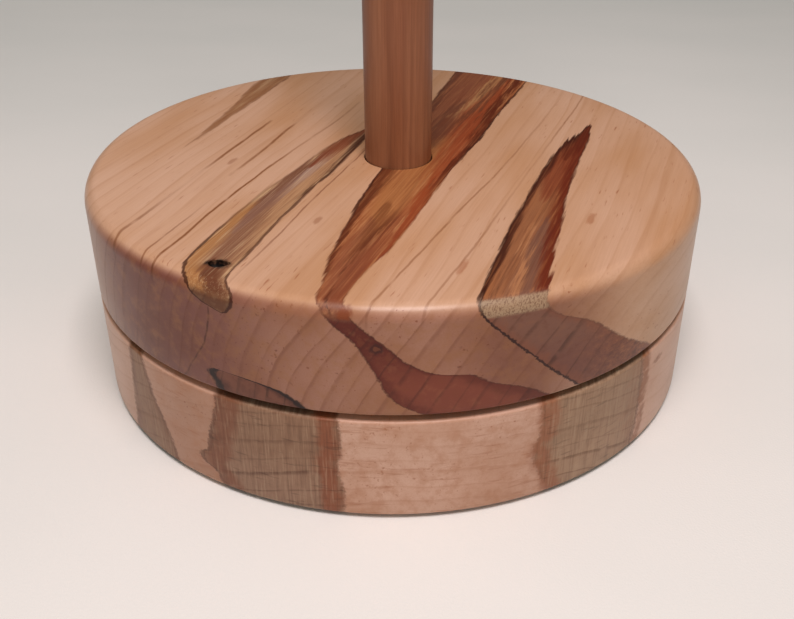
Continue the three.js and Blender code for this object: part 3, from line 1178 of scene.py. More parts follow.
def divided(outline: Profile, longest: float) -> Profile:
    """Adds points to an outline so that no piece of it is too long.

    Args:
        outline: The outline.
        longest: The greatest length of a piece.

    Returns:
        The outline with the added points.
    """
    out = [outline[0]]
    for (r0, z0), (r1, z1) in zip(outline, outline[1:]):
        parts = max(1, math.ceil(math.hypot(r1 - r0, z1 - z0) / longest))
        out += [(r0 + (r1 - r0) * i / parts, z0 + (z1 - z0) * i / parts) for i in range(1, parts + 1)]
    return out


def turned(name: str, outline: Profile, seam: Seam, facets: int, crease: float = 25.0) -> bpy.types.Object:
    """Turns an outline into a closed round mesh about the upright axis.

    Args:
        name: The piece's name.
        outline: Radius and height of each point, outwards along the bottom and back over the top.
        seam: How the outline closes.
        facets: How many facets go round.
        crease: Edges sharper than this many degrees are kept crisp.

    Returns:
        The object.
    """
    mesh = bpy.data.meshes.new(name)
    body = bmesh.new()
    rows: list[list[bmesh.types.BMVert]] = []
    for radius, height in outline:
        if radius < 1e-6:
            rows.append([body.verts.new((0, 0, height * MM))])
            continue
        turns = [2 * math.pi * i / facets for i in range(facets)]
        circle = [(radius * MM * math.cos(t), radius * MM * math.sin(t), height * MM) for t in turns]
        rows.append([body.verts.new(place) for place in circle])
    pairs = list(zip(rows, rows[1:])) + ([(rows[-1], rows[0])] if seam is Seam.RING else [])
    for lower, upper in pairs:
        for i in range(facets):
            j = (i + 1) % facets
            if len(lower) == 1:
                body.faces.new((lower[0], upper[j], upper[i]))
            elif len(upper) == 1:
                body.faces.new((lower[i], lower[j], upper[0]))
            else:
                body.faces.new((lower[i], lower[j], upper[j], upper[i]))
    bmesh.ops.recalc_face_normals(body, faces=body.faces)
    body.to_mesh(mesh)
    body.free()
    piece = bpy.data.objects.new(name, mesh)
    bpy.context.scene.collection.objects.link(piece)
    smooth(piece, crease)
    return piece


def smooth(piece: bpy.types.Object, crease: float) -> None:
    """Shades a piece smooth, with its sharper edges kept crisp.

    Args:
        piece: The piece.
        crease: Edges sharper than this many degrees are kept crisp.
    """
    piece.data.shade_smooth()
    piece.data.set_sharp_from_angle(angle=math.radians(crease))


def cut_away(piece: bpy.types.Object, cutter: bpy.types.Object, crease: float = 25.0) -> None:
    """Cuts one closed mesh out of another and removes the cutter.

    Args:
        piece: The mesh that is cut.
        cutter: The shape that is taken out of it.
        crease: Edges sharper than this many degrees are kept crisp.
    """
    tool = piece.modifiers.new("cut", "BOOLEAN")
    tool.operation, tool.solver, tool.object = "DIFFERENCE", "EXACT", cutter
    bpy.context.view_layer.update()
    result = bpy.data.meshes.new_from_object(piece.evaluated_get(bpy.context.evaluated_depsgraph_get()))
    piece.modifiers.clear()
    was, piece.data = piece.data, result
    bpy.data.meshes.remove(was)
    bpy.data.objects.remove(cutter)
    smooth(piece, crease)


# --------------------------------------------------------------------------------------------------
# The holder
# --------------------------------------------------------------------------------------------------

RIM_STEPS = 10
DISC_FACETS = 256
HOLE_FACETS = 64
PAD_FACETS = 72
POST_FACETS = 128
BORER_FACETS = 40
EASE_STEPS = 4
POST_TOP_STEPS = 14
DISC_LONGEST = 8.0
PAD_LONGEST = 1.5
POST_LONGEST = 12.0
TOUCH_GAP = 0.05
SCREW_GAP = 0.3


@dataclass
class Base:
    """The fixed lower disc, with its pads, lower bearing plate and screws."""

    ease: float = 0.8
    pocket_radius: float = 55.88
    access_place: float = 42.64
    access_radius: float = 7.0
    pads: int = 4
    screws: int = 4
    pieces: list[bpy.types.Object] = field(default_factory=list)

    def disc(self, finish: bpy.types.Material) -> bpy.types.Object:
        """Makes the disc with its bearing pocket and the screwdriver's access hole.

        Args:
            finish: The wood.

        Returns:
            The disc.
        """
        low, high = (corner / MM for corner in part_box("base_disc"))
        radius, bottom, top, ease = high.x, low.z, high.z, self.ease
        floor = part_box("bearing_lower_plate")[0].z / MM - TOUCH_GAP
        outline = divided(
            [
                (0.0, bottom),
                *rounding((radius - ease, bottom + ease), ease, -90, 0, EASE_STEPS),
                *rounding((radius - ease, top - ease), ease, 0, 90, EASE_STEPS),
                (self.pocket_radius, top),
                (self.pocket_radius, floor),
                (0.0, floor),
            ],
            DISC_LONGEST,
        )
        piece = turned("base_wood", outline, Seam.AXIS, DISC_FACETS)
        cutter = turned(
            "access_cutter",
            [(0.0, bottom - 2), (self.access_radius, bottom - 2), (self.access_radius, top), (0.0, top)],
            Seam.AXIS,
            HOLE_FACETS,
        )
        cutter.location.x = self.access_place * MM
        cut_away(piece, cutter)
        piece.data.materials.clear()
        piece.data.materials.append(finish)
        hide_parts("base_disc")
        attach(piece, "base")
        self.pieces.append(piece)
        return piece

    def hardware(self, steel: bpy.types.Material, screw: bpy.types.Material) -> None:
        """Dresses the lower bearing plate and its screws.

        Args:
            steel: The plate's finish.
            screw: The screws' finish.
        """
        dress("bearing_lower_plate", steel)
        for number in range(1, self.screws + 1):
            dress(f"lower_plate_screw_{number}", screw)

    def feet(self, felt: bpy.types.Material) -> None:
        """Makes the felt pads, each with a softly pressed rim.

        Args:
            felt: The pads' finish.
        """
        for number in range(1, self.pads + 1):
            low, high = (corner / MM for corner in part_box(f"foot_pad_{number}"))
            radius, thick = (high.x - low.x) / 2, high.z - low.z
            rim = thick * 0.3
            outline = divided(
                [
                    (0.0, 0.0),
                    *rounding((radius - rim, rim), rim, -90, 0, EASE_STEPS),
                    *rounding((radius - rim, thick - rim), rim, 0, 90, EASE_STEPS),
                    (0.0, thick),
                ],
                PAD_LONGEST,
            )
            pad = turned(f"felt_pad_{number}", outline, Seam.AXIS, PAD_FACETS)
            centre = Vector(((low.x + high.x) / 2, (low.y + high.y) / 2, low.z))
            pad.data.transform(Matrix.Translation(centre * MM))
            pad.data.materials.append(felt)
            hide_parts(f"foot_pad_{number}")
            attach(pad, "base")
            self.pieces.append(pad)


@dataclass
class BallRing:
    """The balls and their cage."""

    balls: int = 20

    def hardware(self, polished: bpy.types.Material, nylon: bpy.types.Material) -> None:
        """Dresses the balls and the cage.

        Args:
            polished: The balls' finish.
            nylon: The cage's finish.
        """
        dress("ball_retainer", nylon)
        for number in range(1, self.balls + 1):
            dress(f"ball_{number:02d}", polished)


@dataclass
class Platter:
    """The turning upper disc with the post, its screw, the upper bearing plate and its screws."""

    round_over: float = 4.0
    ease: float = 0.8
    pocket_radius: float = 55.88
    socket_radius: float = 9.825
    screw_hole: float = 2.4
    screw_sink: float = 4.4
    screw_sink_depth: float = 2.9
    screw_hole_depth: float = 30.3
    borer_hole: tuple[float, float] = (-36.7, -68.3)
    borer_size: tuple[float, float, float] = (2.6, 1.7, 2.4)
    top_round: float = 6.0
    screws: int = 4
    pieces: list[bpy.types.Object] = field(default_factory=list)

    @property
    def pocket_floor(self) -> float:
        """Height of the bearing pocket's floor, just over the upper plate."""
        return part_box("bearing_upper_plate")[1].z / MM + TOUCH_GAP

    def disc(self, finish: bpy.types.Material) -> bpy.types.Object:
        """Makes the disc with its rounded rim, socket, pocket and the old borer hole in a streak.

        Args:
            finish: The wood.

        Returns:
            The disc.
        """
        low, high = (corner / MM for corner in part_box("platter_disc"))
        radius, bottom, top, ease, big = high.x, low.z, high.z, self.ease, self.round_over
        floor, socket_floor = self.pocket_floor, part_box("post")[0].z / MM - TOUCH_GAP
        outline = divided(
            [
                (self.pocket_radius, bottom),
                *rounding((radius - ease, bottom + ease), ease, -90, 0, EASE_STEPS),
                *rounding((radius - big, top - big), big, 0, 90, RIM_STEPS),
                (self.socket_radius, top),
                (self.socket_radius, socket_floor),
                (self.screw_hole, socket_floor),
                (self.screw_hole, floor + self.screw_sink_depth),
                (self.screw_sink, floor + SCREW_GAP),
                (self.screw_sink, floor),
                (self.pocket_radius, floor),
            ],
            DISC_LONGEST,
        )
        piece = turned("platter_wood", outline, Seam.RING, DISC_FACETS)
        cut_away(piece, self.borer(top))
        piece.data.materials.clear()
        piece.data.materials.append(finish)
        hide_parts("platter_disc")
        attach(piece, "platter")
        self.pieces.append(piece)
        return piece

    def borer(self, top: float) -> bpy.types.Object:
        """The hollow of an old insect hole, as an uneven egg, to be cut from the disc's face.

        Args:
            top: Height of the face.

        Returns:
            The cutter.
        """
        wide, deep_way, depth = self.borer_size
        outline = rounding((0.0, 0.0), 1.0, -90, 90, 12)
        outline[0], outline[-1] = (0.0, -1.0), (0.0, 1.0)
        egg = turned("borer_cutter", outline, Seam.AXIS, BORER_FACETS)
        for vert in egg.data.vertices:
            x, y, z = vert.co / MM
            bulge = 1 + 0.08 * math.sin(3 * math.atan2(y, x) + 0.8)
            vert.co = Vector((x * wide * bulge, y * deep_way * bulge, z * depth)) * MM
        egg.location = Vector((*self.borer_hole, top)) * MM
        return egg

    def post(self, finish: bpy.types.Material) -> bpy.types.Object:
        """Makes the post, with a rounded top and a chamfered foot.

        Args:
            finish: The wood.

        Returns:
            The post.
        """
        low, high = (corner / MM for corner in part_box("post"))
        radius, bottom, top, big = high.x, low.z, high.z, self.top_round
        hole, hole_top = self.screw_hole, self.pocket_floor + self.screw_hole_depth
        outline = divided(
            [
                (0.0, hole_top),
                (hole, hole_top),
                (hole, bottom),
                (radius - 1, bottom),
                (radius, bottom + 1),
                *rounding((radius - big, top - big), big, 0, 90, POST_TOP_STEPS),
                (0.0, top),
            ],
            POST_LONGEST,
        )
        piece = turned("post_wood", outline, Seam.AXIS, POST_FACETS)
        piece.data.materials.append(finish)
        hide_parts("post")
        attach(piece, "platter")
        self.pieces.append(piece)
        return piece

    def hardware(self, steel: bpy.types.Material, screw: bpy.types.Material) -> None:
        """Dresses the upper bearing plate and the screws.

        Args:
            steel: The plate's finish.
            screw: The screws' finish.
        """
        dress("bearing_upper_plate", steel)
        dress("post_screw", screw)
        for number in range(1, self.screws + 1):
            dress(f"upper_plate_screw_{number}", screw)


def dress(node: str, finish: bpy.types.Material) -> None:
    """Gives a carried-over node its finish and reports it.

    Args:
        node: The node's name.
        finish: Its material.
    """
    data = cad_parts[node].data
    data.materials.clear()
    data.materials.append(finish)
    log.info("%s: %s", node, finish.name)


# --------------------------------------------------------------------------------------------------
# Wood figure
# --------------------------------------------------------------------------------------------------

ALWAYS = Trace(((-90.0, 1.0), (90.0, 1.0)))

LEFT_STREAK = Streak(
    left=Trace(((-90, -18.6), (-84.5, -20.4), (-79, -23.6), (-72, -24.8), (-59, -25.2), (-40, -25.2),
                (-19, -23.4),
                (4, -21.2), (14, -18.2), (24, -14), (90, 10))),
    right=Trace(((-90, -9), (-85, -10), (-79.6, -11.8), (-66, -12.4), (-52, -13.4), (-33, -13.8),
                 (-14, -13.4), (0, -13.8), (16, -14.6), (24, -17), (90, -40))),
    left_lean=Trace(((0, 0), (2.5, 0.6), (4.5, 3), (6, 7), (9, 16), (30, 30))),
    right_lean=Trace(((0, 0), (2, 1.6), (4, 1.4), (6, 0), (9, -8), (30, -30))),
    tints=("7c4e34", "a87b58", "c3a07a"), deep=("643a22", "6e4a36"), border="6e4a30", line="3f1808",
    left_line=Trace(((-90, 0.9), (-62, 0.75), (-50, 0.3), (-10, 0.2), (10, 0.3), (90, 0.3))),
    right_line=Trace(((-90, 0.85), (-50, 0.7), (90, 0.8))),
    side_lines=(0.3, 0.3), ragged=0.22, splinter=2.0, line_width=0.6, fibre_width=1.2, softness=0.3, turn=2.6,
    stripes=(
        Stripe("ab7f5b", Trace(((-90, 0.9), (-60, 0.82), (-30, 0.72), (0, 0.62), (90, 0.6))),
               Trace(((-90, 0.04), (-60, 0.13), (-40, 0.22), (-15, 0.24), (3, 0.14), (12, 0), (90, 0)))),
        # Painted sheen: this pale greyish stripe in the streak's middle stands for the varnish's reflection
        # of the light.
        Stripe("a38576", Trace(((-60, 0.35), (-15, 0.3), (0, 0.3))),
               Trace(((-62, 0), (-45, 0.14), (-20, 0.2), (-2, 0)))),
        Stripe("764a36", Trace(((-86, 0.58), (-62, 0.5), (-42, 0.34), (-20, 0.2))),
               Trace(((-90, 0.2), (-62, 0.26), (-42, 0.2), (-22, 0.1), (-8, 0))), 0.8),
        Stripe(
            "5c2c14", Trace(((-90, 0.55), (-70, 0.45))),
            Trace(((-90, 0.6), (-82, 0.45), (-77, 0.2), (-72, 0), (90, 0)))
        ),
        Stripe("6b3d26", Trace(((-70, 0.2), (-40, 0.16), (0, 0.2))),
               Trace(((-74, 0), (-62, 0.05), (-30, 0.07), (-10, 0.1), (90, 0.1))), 0.7),
        Stripe("a87444", Trace(((-90, 0.2), (-62, 0.14), (-45, 0.08))),
               Trace(((-90, 0.2), (-62, 0.13), (-45, 0.05), (-38, 0)))),
        Stripe("7a3a20", Trace(((-15, 0.3), (10, 0.35), (30, 0.4))),
               Trace(((-18, 0), (-5, 0.22), (10, 0.5), (30, 0.8), (90, 0.8)))),
        Stripe("3e1c0e", Trace(((-40, 1.0), (0, 0.94), (20, 0.8))),
               Trace(((-45, 0), (-20, 0.06), (0, 0.16), (16, 0.35), (90, 0.4)))),
    ),
)

MAIN_STREAK = Streak(
    left=Trace(((-90, 12), (-84, 11.2), (-64, 6.3), (-47, 3.2), (-29, 0.6), (-11, -1.2), (20, -3.8),
                (51, -6), (67, -7.1), (90, -8.4))),
    right=Trace(((-90, 17.6), (-84, 17.2), (-70, 16.8), (-52, 18.3), (-30, 18), (-9, 17.4), (8, 17.6),
                 (26, 18.1), (47, 17.8), (67, 18), (90, 19))),
    left_lean=Trace(((0, 0), (3, 2.6), (9, 8.8), (16, 13), (24.4, 17.8), (27, 22), (30, 28))),
    right_lean=Trace(((0, 0), (3, 2.6), (9, 9), (15.4, 16.4), (17.4, 21), (18.4, 28), (20.5, 31),
                      (24.4, 38.7), (30, 45))),
    tints=("7a3f24", "985833", "ad734a"), deep=("5c1e10", "7d3c2a"), border="561a0d", line="3c160a",
    left_line=Trace(((-90, 0.25), (-50, 0.4), (-30, 0.85), (10, 0.9), (30, 0.45), (90, 0.5))),
    right_line=Trace(((-90, 0.2), (-40, 0.2), (-10, 0.35), (30, 0.85), (90, 0.4))),
    side_lines=(0.1, 0.2), ragged=0.3, line_width=0.5, fibre_width=1.9, rim=0.12,
    stripes=(
        Stripe("824c35", Trace(((10, 0.22), (90, 0.28))),
               Trace(((-90, 0), (8, 0), (22, 0.3), (90, 0.34)))),
        Stripe("a1683c", Trace(((-60, 0.4), (-30, 0.45), (0, 0.52), (20, 0.6))),
               Trace(((-70, 0), (-45, 0.14), (-22, 0.3), (0, 0.34), (15, 0.15), (25, 0), (90, 0)))),
        Stripe("8a3719", Trace(((-60, 0.95), (-30, 0.9), (0, 0.86), (30, 0.76), (90, 0.78))),
               Trace(((-70, 0), (-50, 0.05), (-20, 0.1), (10, 0.2), (40, 0.24), (60, 0.12), (90, 0.08))),
               0.75),
        Stripe("7d4632", Trace(((-90, 0.5), (-60, 0.45), (-40, 0.3))),
               Trace(((-90, 0.6), (-65, 0.4), (-45, 0.1), (-36, 0), (90, 0))), 0.6),
        Stripe("653b2b", Trace(((18, 0.06), (90, 0.03))), Trace(((0, 0), (20, 0.1), (50, 0.05), (90, 0.04)))),
        Stripe("653a29", Trace(((10, 0.35), (40, 0.4), (90, 0.45))),
               Trace(((8, 0), (20, 0.16), (45, 0.09), (60, 0), (90, 0))), 0.75),
        Stripe(
            "b07f54", Trace(((38, 0.44), (60, 0.57), (90, 0.64))), Trace(((34, 0), (50, 0.03), (90, 0.045)))
        ),
        Stripe(
            "663a26", Trace(((30, 0.54), (60, 0.66), (90, 0.72))), Trace(((22, 0), (45, 0.03), (90, 0.05)))
        ),
        Stripe("4f1b0a", Trace(((-30, 0.98), (20, 0.96), (45, 0.93), (70, 0.87), (90, 0.84))),
               Trace(((-40, 0), (0, 0.03), (30, 0.07), (60, 0.045), (90, 0.03)))),
        Stripe("54230f", Trace(((-75, 0.04), (-10, 0.05), (15, 0.02))),
               Trace(
                   ((-78, 0), (-55, 0.05), (-35, 0.08), (-20, 0.13), (-6, 0.12), (8, 0.03), (20, 0), (90, 0))
               )),
        Stripe("653419", Trace(((-62, 0.52), (-40, 0.5), (-30, 0.42))),
               Trace(((-66, 0), (-54, 0.1), (-42, 0.11), (-33, 0.05), (-26, 0), (90, 0))), 0.6),
        Stripe("7c4028", Trace(((-90, 0.7), (-60, 0.75), (-30, 0.8))),
               Trace(((-90, 0.4), (-60, 0.25), (-30, 0), (90, 0))), 0.6),
        Stripe("4e2010", Trace(((-90, 0.3), (-70, 0.45), (-50, 0.56), (-25, 0.72), (0, 0.78))),
               Trace(((-90, 0.05), (-70, 0.02), (-50, 0.02), (-25, 0.0), (90, 0))), 0.8),
    ),
)

RIGHT_STREAK = Streak(
    left=Trace(((-90, 45.4), (-73, 44.7), (-53, 43.1), (-31, 42), (-12, 41.7), (3, 41.6), (20, 42.2),
                (34, 44.6), (45, 47.4), (90, 60))),
    right=Trace(((-90, 61.6), (-64, 58.6), (-46, 56.2), (-28, 54), (-9, 51.6), (7, 50.4), (23, 49.8),
                 (34, 49.2), (45, 47.4), (90, 42))),
    left_lean=Trace(((0, 0), (3, 1.6), (7.7, 5.3), (14.8, 11.5), (20.5, 16.4), (30, 24.8))),
    right_lean=Trace(((0, 0), (2.6, 0.2), (11.5, 11.3), (18, 17.2), (24.4, 23), (30, 28))),
    tints=("62301c", "80472a", "9a5f39"), deep=("7a503f", "704438"), border="7f4831", line="2c0e06",
    left_line=Trace(((-90, 0.9), (-70, 0.6), (-20, 0.5), (90, 0.5))),
    right_line=Trace(((-90, 0.1), (-40, 0.15), (-10, 0.4), (90, 0.5))),
    side_lines=(0.35, 0.1), ragged=0.3, splinter=9.0, line_width=0.5, fibre_width=1.5, rim=0.9,
    stripes=(
        Stripe("94603f", Trace(((-90, 0.3), (-20, 0.36), (0, 0.42))),
               Trace(((-90, 0.26), (-30, 0.3), (0, 0.28), (15, 0), (90, 0)))),
        Stripe("76503f", Trace(((-90, 0.68), (-50, 0.64), (-24, 0.7))),
               Trace(((-90, 0.22), (-50, 0.19), (-32, 0.12), (-20, 0), (90, 0)))),
        Stripe("b27a52", Trace(((-85, 0.42), (-60, 0.52), (-40, 0.44), (-15, 0.5))),
               Trace(((-90, 0.035), (-40, 0.03), (-12, 0), (90, 0))), 0.8),
        Stripe(
            "7c3820", Trace(((-15, 0.5), (90, 0.5))), Trace(((-18, 0), (-5, 0.3), (10, 0.7), (90, 1.0))), 0.8
        ),
        Stripe("64200e", Trace(((-90, 0.93), (0, 0.93), (43, 0.9))),
               Trace(((-90, 0.1), (-40, 0.13), (0, 0.18), (20, 0.3), (43, 0.6), (90, 0.6)))),
        Stripe(
            "561a0a", Trace(((15, 0.5), (90, 0.5))), Trace(((14, 0), (28, 0.5), (45, 1.0), (90, 1.0))), 0.75
        ),
        Stripe("35110a", Trace(((-90, 0.02), (43, 0.05))),
               Trace(((-90, 0.09), (-40, 0.1), (0, 0.13), (20, 0.18), (45, 0.3), (90, 0.3)))),
    ),
)

FAINT_STREAK = Streak(
    left=Trace(((-90, -50), (-14, -60), (21, -64), (45, -67.5), (90, -68))),
    right=Trace(((-90, -90), (-30, -64), (-10, -60.3), (20, -60), (58, -60), (90, -59))),
    left_lean=Trace(((0, 0), (10, 4), (30, 16))),
    right_lean=Trace(((0, 0), (10, 6), (30, 22))),
    tints=("855637", "936543", "ab8360"), deep=("7e523b", "8a5c44"), border="7e523b", line="6b3f26",
    left_line=Trace(((-90, 0.1), (90, 0.2))), right_line=Trace(((-90, 0.2), (20, 0.3), (60, 0.7), (90, 0.7))),
    side_lines=(0.2, 0.2), ragged=0.4, softness=0.7, line_width=0.4, fibre_width=2.2,
)

LOW_STREAK = Streak(
    left=Trace(((-90, -16.4), (-70, -14), (-55, -4), (90, 40))),
    right=Trace(((-90, 9.5), (-70, 5), (-55, -4), (90, -60))),
    left_lean=Trace(((0, 40), (20, 22), (22.6, 2), (24, 0.2), (26, 1.4), (30, 3))),
    right_lean=Trace(((0, -60), (20, -34), (22.4, -27), (23, -16), (24.5, -7), (26.5, -3), (30, 1.5))),
    tints=("4f241a", "6b3c2c", "875640"), deep=("5a2a1e", "754533"), border="3c140c", line="1e0805",
    left_line=Trace(((-90, 0.5), (90, 0.5))), right_line=Trace(((-90, 0.5), (90, 0.5))),
    side_lines=(0.5, 0.5), ragged=0.3, splinter=2.0, line_width=1.6, fibre_width=3.0,
)

PLATTER_LINES = (
    GrainLine(Trace(((-90, -33.5), (-72, -31.2), (-49, -31.6), (-25, -31.2), (-3, -29.8), (22, -27.8))),
              Trace(((-90, 1), (-20, 0.9), (0, 0.4), (22, 0.5), (40, 0))), width=0.55),
    GrainLine(Trace(((-90, -10.2), (-63, -10), (-38, -10.7), (1, -10.8), (20, -11.5))),
              Trace(((-75, 0.2), (-60, 0.6), (0, 0.7), (25, 0.7), (40, 0))), width=0.4, tint="7c4a2e"),
    GrainLine(Trace(((-90, -47.4), (-56, -46.5), (-14, -46.9), (11, -46.8))),
              Trace(((-90, 0.9), (-60, 0.7), (-35, 0.1), (-16, 0.9), (5, 0.9), (14, 0))), width=0.7),
    GrainLine(Trace(((-40, -39), (-10, -38.3), (8, -38.8), (50, -38))),
              Trace(((-30, 0), (-12, 0.8), (8, 0.9), (16, 0.1), (90, 0))), width=0.7),
    GrainLine(
        Trace(((-90, -36), (-50, -35.4), (-20, -35.8))), Trace(((-90, 0.9), (-60, 0.6), (-40, 0), (90, 0)))
    ),
    GrainLine(Trace(((-90, 22.4), (-52, 25.6), (-28, 27.4), (1, 30.2), (60, 33))),
              Trace(((-90, 0.5), (-40, 0.6), (0, 0.5), (40, 0.3), (90, 0)))),
    GrainLine(Trace(((-90, 33), (-52, 36.4), (0, 38), (60, 40))),
              Trace(((-90, 0.35), (-50, 0.5), (0, 0.2), (50, 0.5), (90, 0.3)))),
    GrainLine(Trace(((-90, -14.6), (-80, -14.6))), Trace(((-90, 0.85), (-76, 0.85), (-70, 0), (90, 0))),
              lean=Trace(((0, 0), (6, 0), (14, -1.5), (22, -6), (30, -11))),
              deep_shown=Trace(((0, 0), (5, 0), (7, 0.8), (24, 0.8), (30, 0.4))), width=0.4, tint="6a3b29"),
)

PLATTER_SPOTS = (
    Spot((-75.8, -16.4, 1.2), (2.3, 3.1, 2.6), "0b0605", strength=1.0),
    Spot((-82.8, 24.9, 10.2), (30.0, 1.5, 1.4), "36100a", "6f3a24"),
    Spot((-84.6, 18.2, 1.9), (8.0, 1.6, 1.3), "7c3a1c"),
    Spot((-20.0, -42.5, 0.0), (2.6, 0.8, 1.4), "8a5230", strength=0.5),
    Spot((-47.0, -4.5, 0.0), (2.2, 0.8, 1.2), "8a5230", strength=0.5),
    Spot((-58.0, 37.0, 0.0), (3.6, 0.9, 1.6), "9a5a36", strength=0.5),
    Spot((-22.0, 60.5, 0.0), (3.2, 1.0, 1.6), "97572f", strength=0.5),
)

BASE_STREAKS = (
    Streak(
        left=Trace(((-90, -65), (-50, -65.5), (0, -67), (90, -66))),
        right=Trace(((-90, -60.5), (-50, -60), (0, -62), (90, -61))),
        left_lean=Trace(((0, 0.4), (10, -0.3), (30, -2.0))),
        right_lean=Trace(((0, -0.8), (10, 1.6), (20, 5.6), (30, 8.2))),
        tints=("7a543d", "8a6249", "a07a5e"), deep=("8e684e", "8e684e"), border="7c4e34", line="6b4029",
        left_line=Trace(((-90, 0.2), (90, 0.2))), right_line=Trace(((-90, 0.35), (90, 0.35))),
        side_lines=(0.1, 0.1), ragged=0.35, splinter=4.0, softness=0.6, line_width=0.8, fibre_width=2.6,
        turn=0.0,
        stripes=(
            Stripe("7f4f30", Trace(((-90, 0.9), (90, 0.9))), Trace(((-90, 0.14), (90, 0.1)))),
        ),
    ),
    Streak(
        left=Trace(((-90, -36.6), (-50, -38), (0, -36), (50, -39), (90, -38))),
        right=Trace(((-90, -8.6), (-50, -9), (0, -12), (50, -10), (90, -9))),
        left_lean=Trace(((0, 0), (6, -1.6), (13, -3.4), (18, -4.4), (21, -6.6), (24, -3), (30, 0.4))),
        right_lean=Trace(((0, 0), (8, 0.8), (14, 0), (22, 1.2), (30, 0.8))),
        tints=("7c5a44", "907059", "a98d72"), deep=("8c6850", "93705a"), border="8a5f46", line="4a2413",
        left_line=Trace(((-90, 0.4), (90, 0.4))), right_line=Trace(((-90, 0.15), (90, 0.15))),
        side_lines=(0.15, 0.0), ragged=0.42, splinter=4.0, softness=0.6, line_width=0.9, fibre_width=1.4,
        turn=0.0,
        stripes=(),
    ),
    Streak(
        left=Trace(((-90, 39.3), (-50, 40), (0, 38), (90, 40))),
        right=Trace(((-90, 67.6), (-50, 67), (0, 70), (90, 66))),
        left_lean=Trace(((0, 0), (8, 0.4), (14, -1.2), (20, 0.2), (30, 5.0))),
        right_lean=Trace(((0, 0), (15, 0.5), (30, -1.5))),
        tints=("896b53", "9e7e65", "b89c7e"), deep=("9a795f", "a28066"), border="92674c", line="5f3921",
        left_line=Trace(((-90, 0.2), (90, 0.2))), right_line=Trace(((-90, 0.4), (90, 0.4))),
        side_lines=(0.1, 0.1), ragged=0.42, splinter=4.0, softness=0.6, line_width=0.8, fibre_width=1.4,
        turn=0.0,
        stripes=(),
    ),
)

BASE_BANDS = (
    GrainLine(Trace(((-90, -35), (0, -34), (90, -36))), ALWAYS,
              lean=Trace(((0, 0), (6, -1.6), (13, -3.2), (18, -4.2), (21, -5.6), (24, -3), (30, 0.4))),
              deep_shown=Trace(((0, 0.8), (30, 0.8))), width=4.6, tint="7d4a32", wander=2.4),
    GrainLine(Trace(((-90, -11), (0, -13), (90, -11))), ALWAYS,
              lean=Trace(((0, 0), (8, 0.8), (14, 0), (22, 1.2), (30, 0.8))),
              deep_shown=Trace(((0, 0.8), (30, 0.8))), width=3.6, tint="884a2e", wander=2.8),
    GrainLine(Trace(((-90, 42), (0, 41), (90, 42))), ALWAYS,
              lean=Trace(((0, 0), (8, 0.4), (14, -1.2), (20, 0.2), (30, 4.0))),
              deep_shown=Trace(((0, 0.8), (30, 0.8))), width=3.6, tint="955c3e", wander=2.6),
    GrainLine(Trace(((-90, 66.6), (0, 68.6), (90, 65))), ALWAYS,
              lean=Trace(((0, 0), (15, 0.5), (30, -1.5))),
              deep_shown=Trace(((0, 0.8), (30, 0.8))), width=1.5, tint="8b5128", wander=1.6),
)

BASE_SPOTS = (
    Spot((-60.0, 72.6, 5.0), (20.0, 1.6, 1.3), "844a20"),
)


def platter_wood(face_height: float) -> DiscWood:
    """The platter's wood, with brown streaks running from front to back.

    Args:
        face_height: Height of the platter's upper face.

    Returns:
        The wood.
    """
    return DiscWood(
        name="streaked maple", heading=16.0, face_height=face_height, pale="caa185", honey="bb8b65",
        end_tint="d4c0c1", 
        # Painted shade on the side's end grain, by place across the grain: strong towards the left and right,
        # little near the front's middle.
        painted_side_shade=Trace(
            (
                (-86, 0.45), (-60, 0.55), (-38, 1), (-20, 0.95), (-5, 0.5), (10, 0.1), (30, 0), (45, 0.4),
                (60, 1), (86, 1)
            )
        ),
        # Tint of the painted shade.
        painted_shade_tint="b99fa8",
        end_dark="6b3a2a", ring_share=0.27, ring_dark="98653f", fleck_dark="8f4f2a", pith=(150.0, 80.0),
        spacing=4.2,
        streaks=(FAINT_STREAK, LEFT_STREAK, MAIN_STREAK, RIGHT_STREAK, LOW_STREAK),
        lines=PLATTER_LINES, spots=PLATTER_SPOTS,
    )


def base_wood(face_height: float) -> DiscWood:
    """The base's wood, with grey-brown spalted zones and ray lines on its end grain.

    Args:
        face_height: Height of the base's upper face.

    Returns:
        The wood.
    """
    return DiscWood(
        name="spalted maple", heading=0.0, face_height=face_height, pale="d2aa94", honey="c2957b",
        end_tint="fcfbfc", 
        # Painted shade on the side's end grain, by place across the grain: strongest towards the left, less
        # towards the right, none in the middle.
        painted_side_shade=Trace(((-86, 0.9), (-55, 0.75), (-38, 0.6), (0, 0), (30, 0.1), (60, 0.5), (86, 0.6))),
        # Tint of the painted shade.
        painted_shade_tint="c8b3a0",
        end_dark="9a5f40", ring_share=0.05, ring_dark="aa7250", fleck_dark="9a5c38", pith=(10.0, 190.0),
        spacing=4.6,
        streaks=BASE_STREAKS, spots=BASE_SPOTS, roughness=0.37, rays=0.65, dashes=0.4,
        bands=BASE_BANDS,
    )


# --------------------------------------------------------------------------------------------------
# Floor, light and camera
# --------------------------------------------------------------------------------------------------


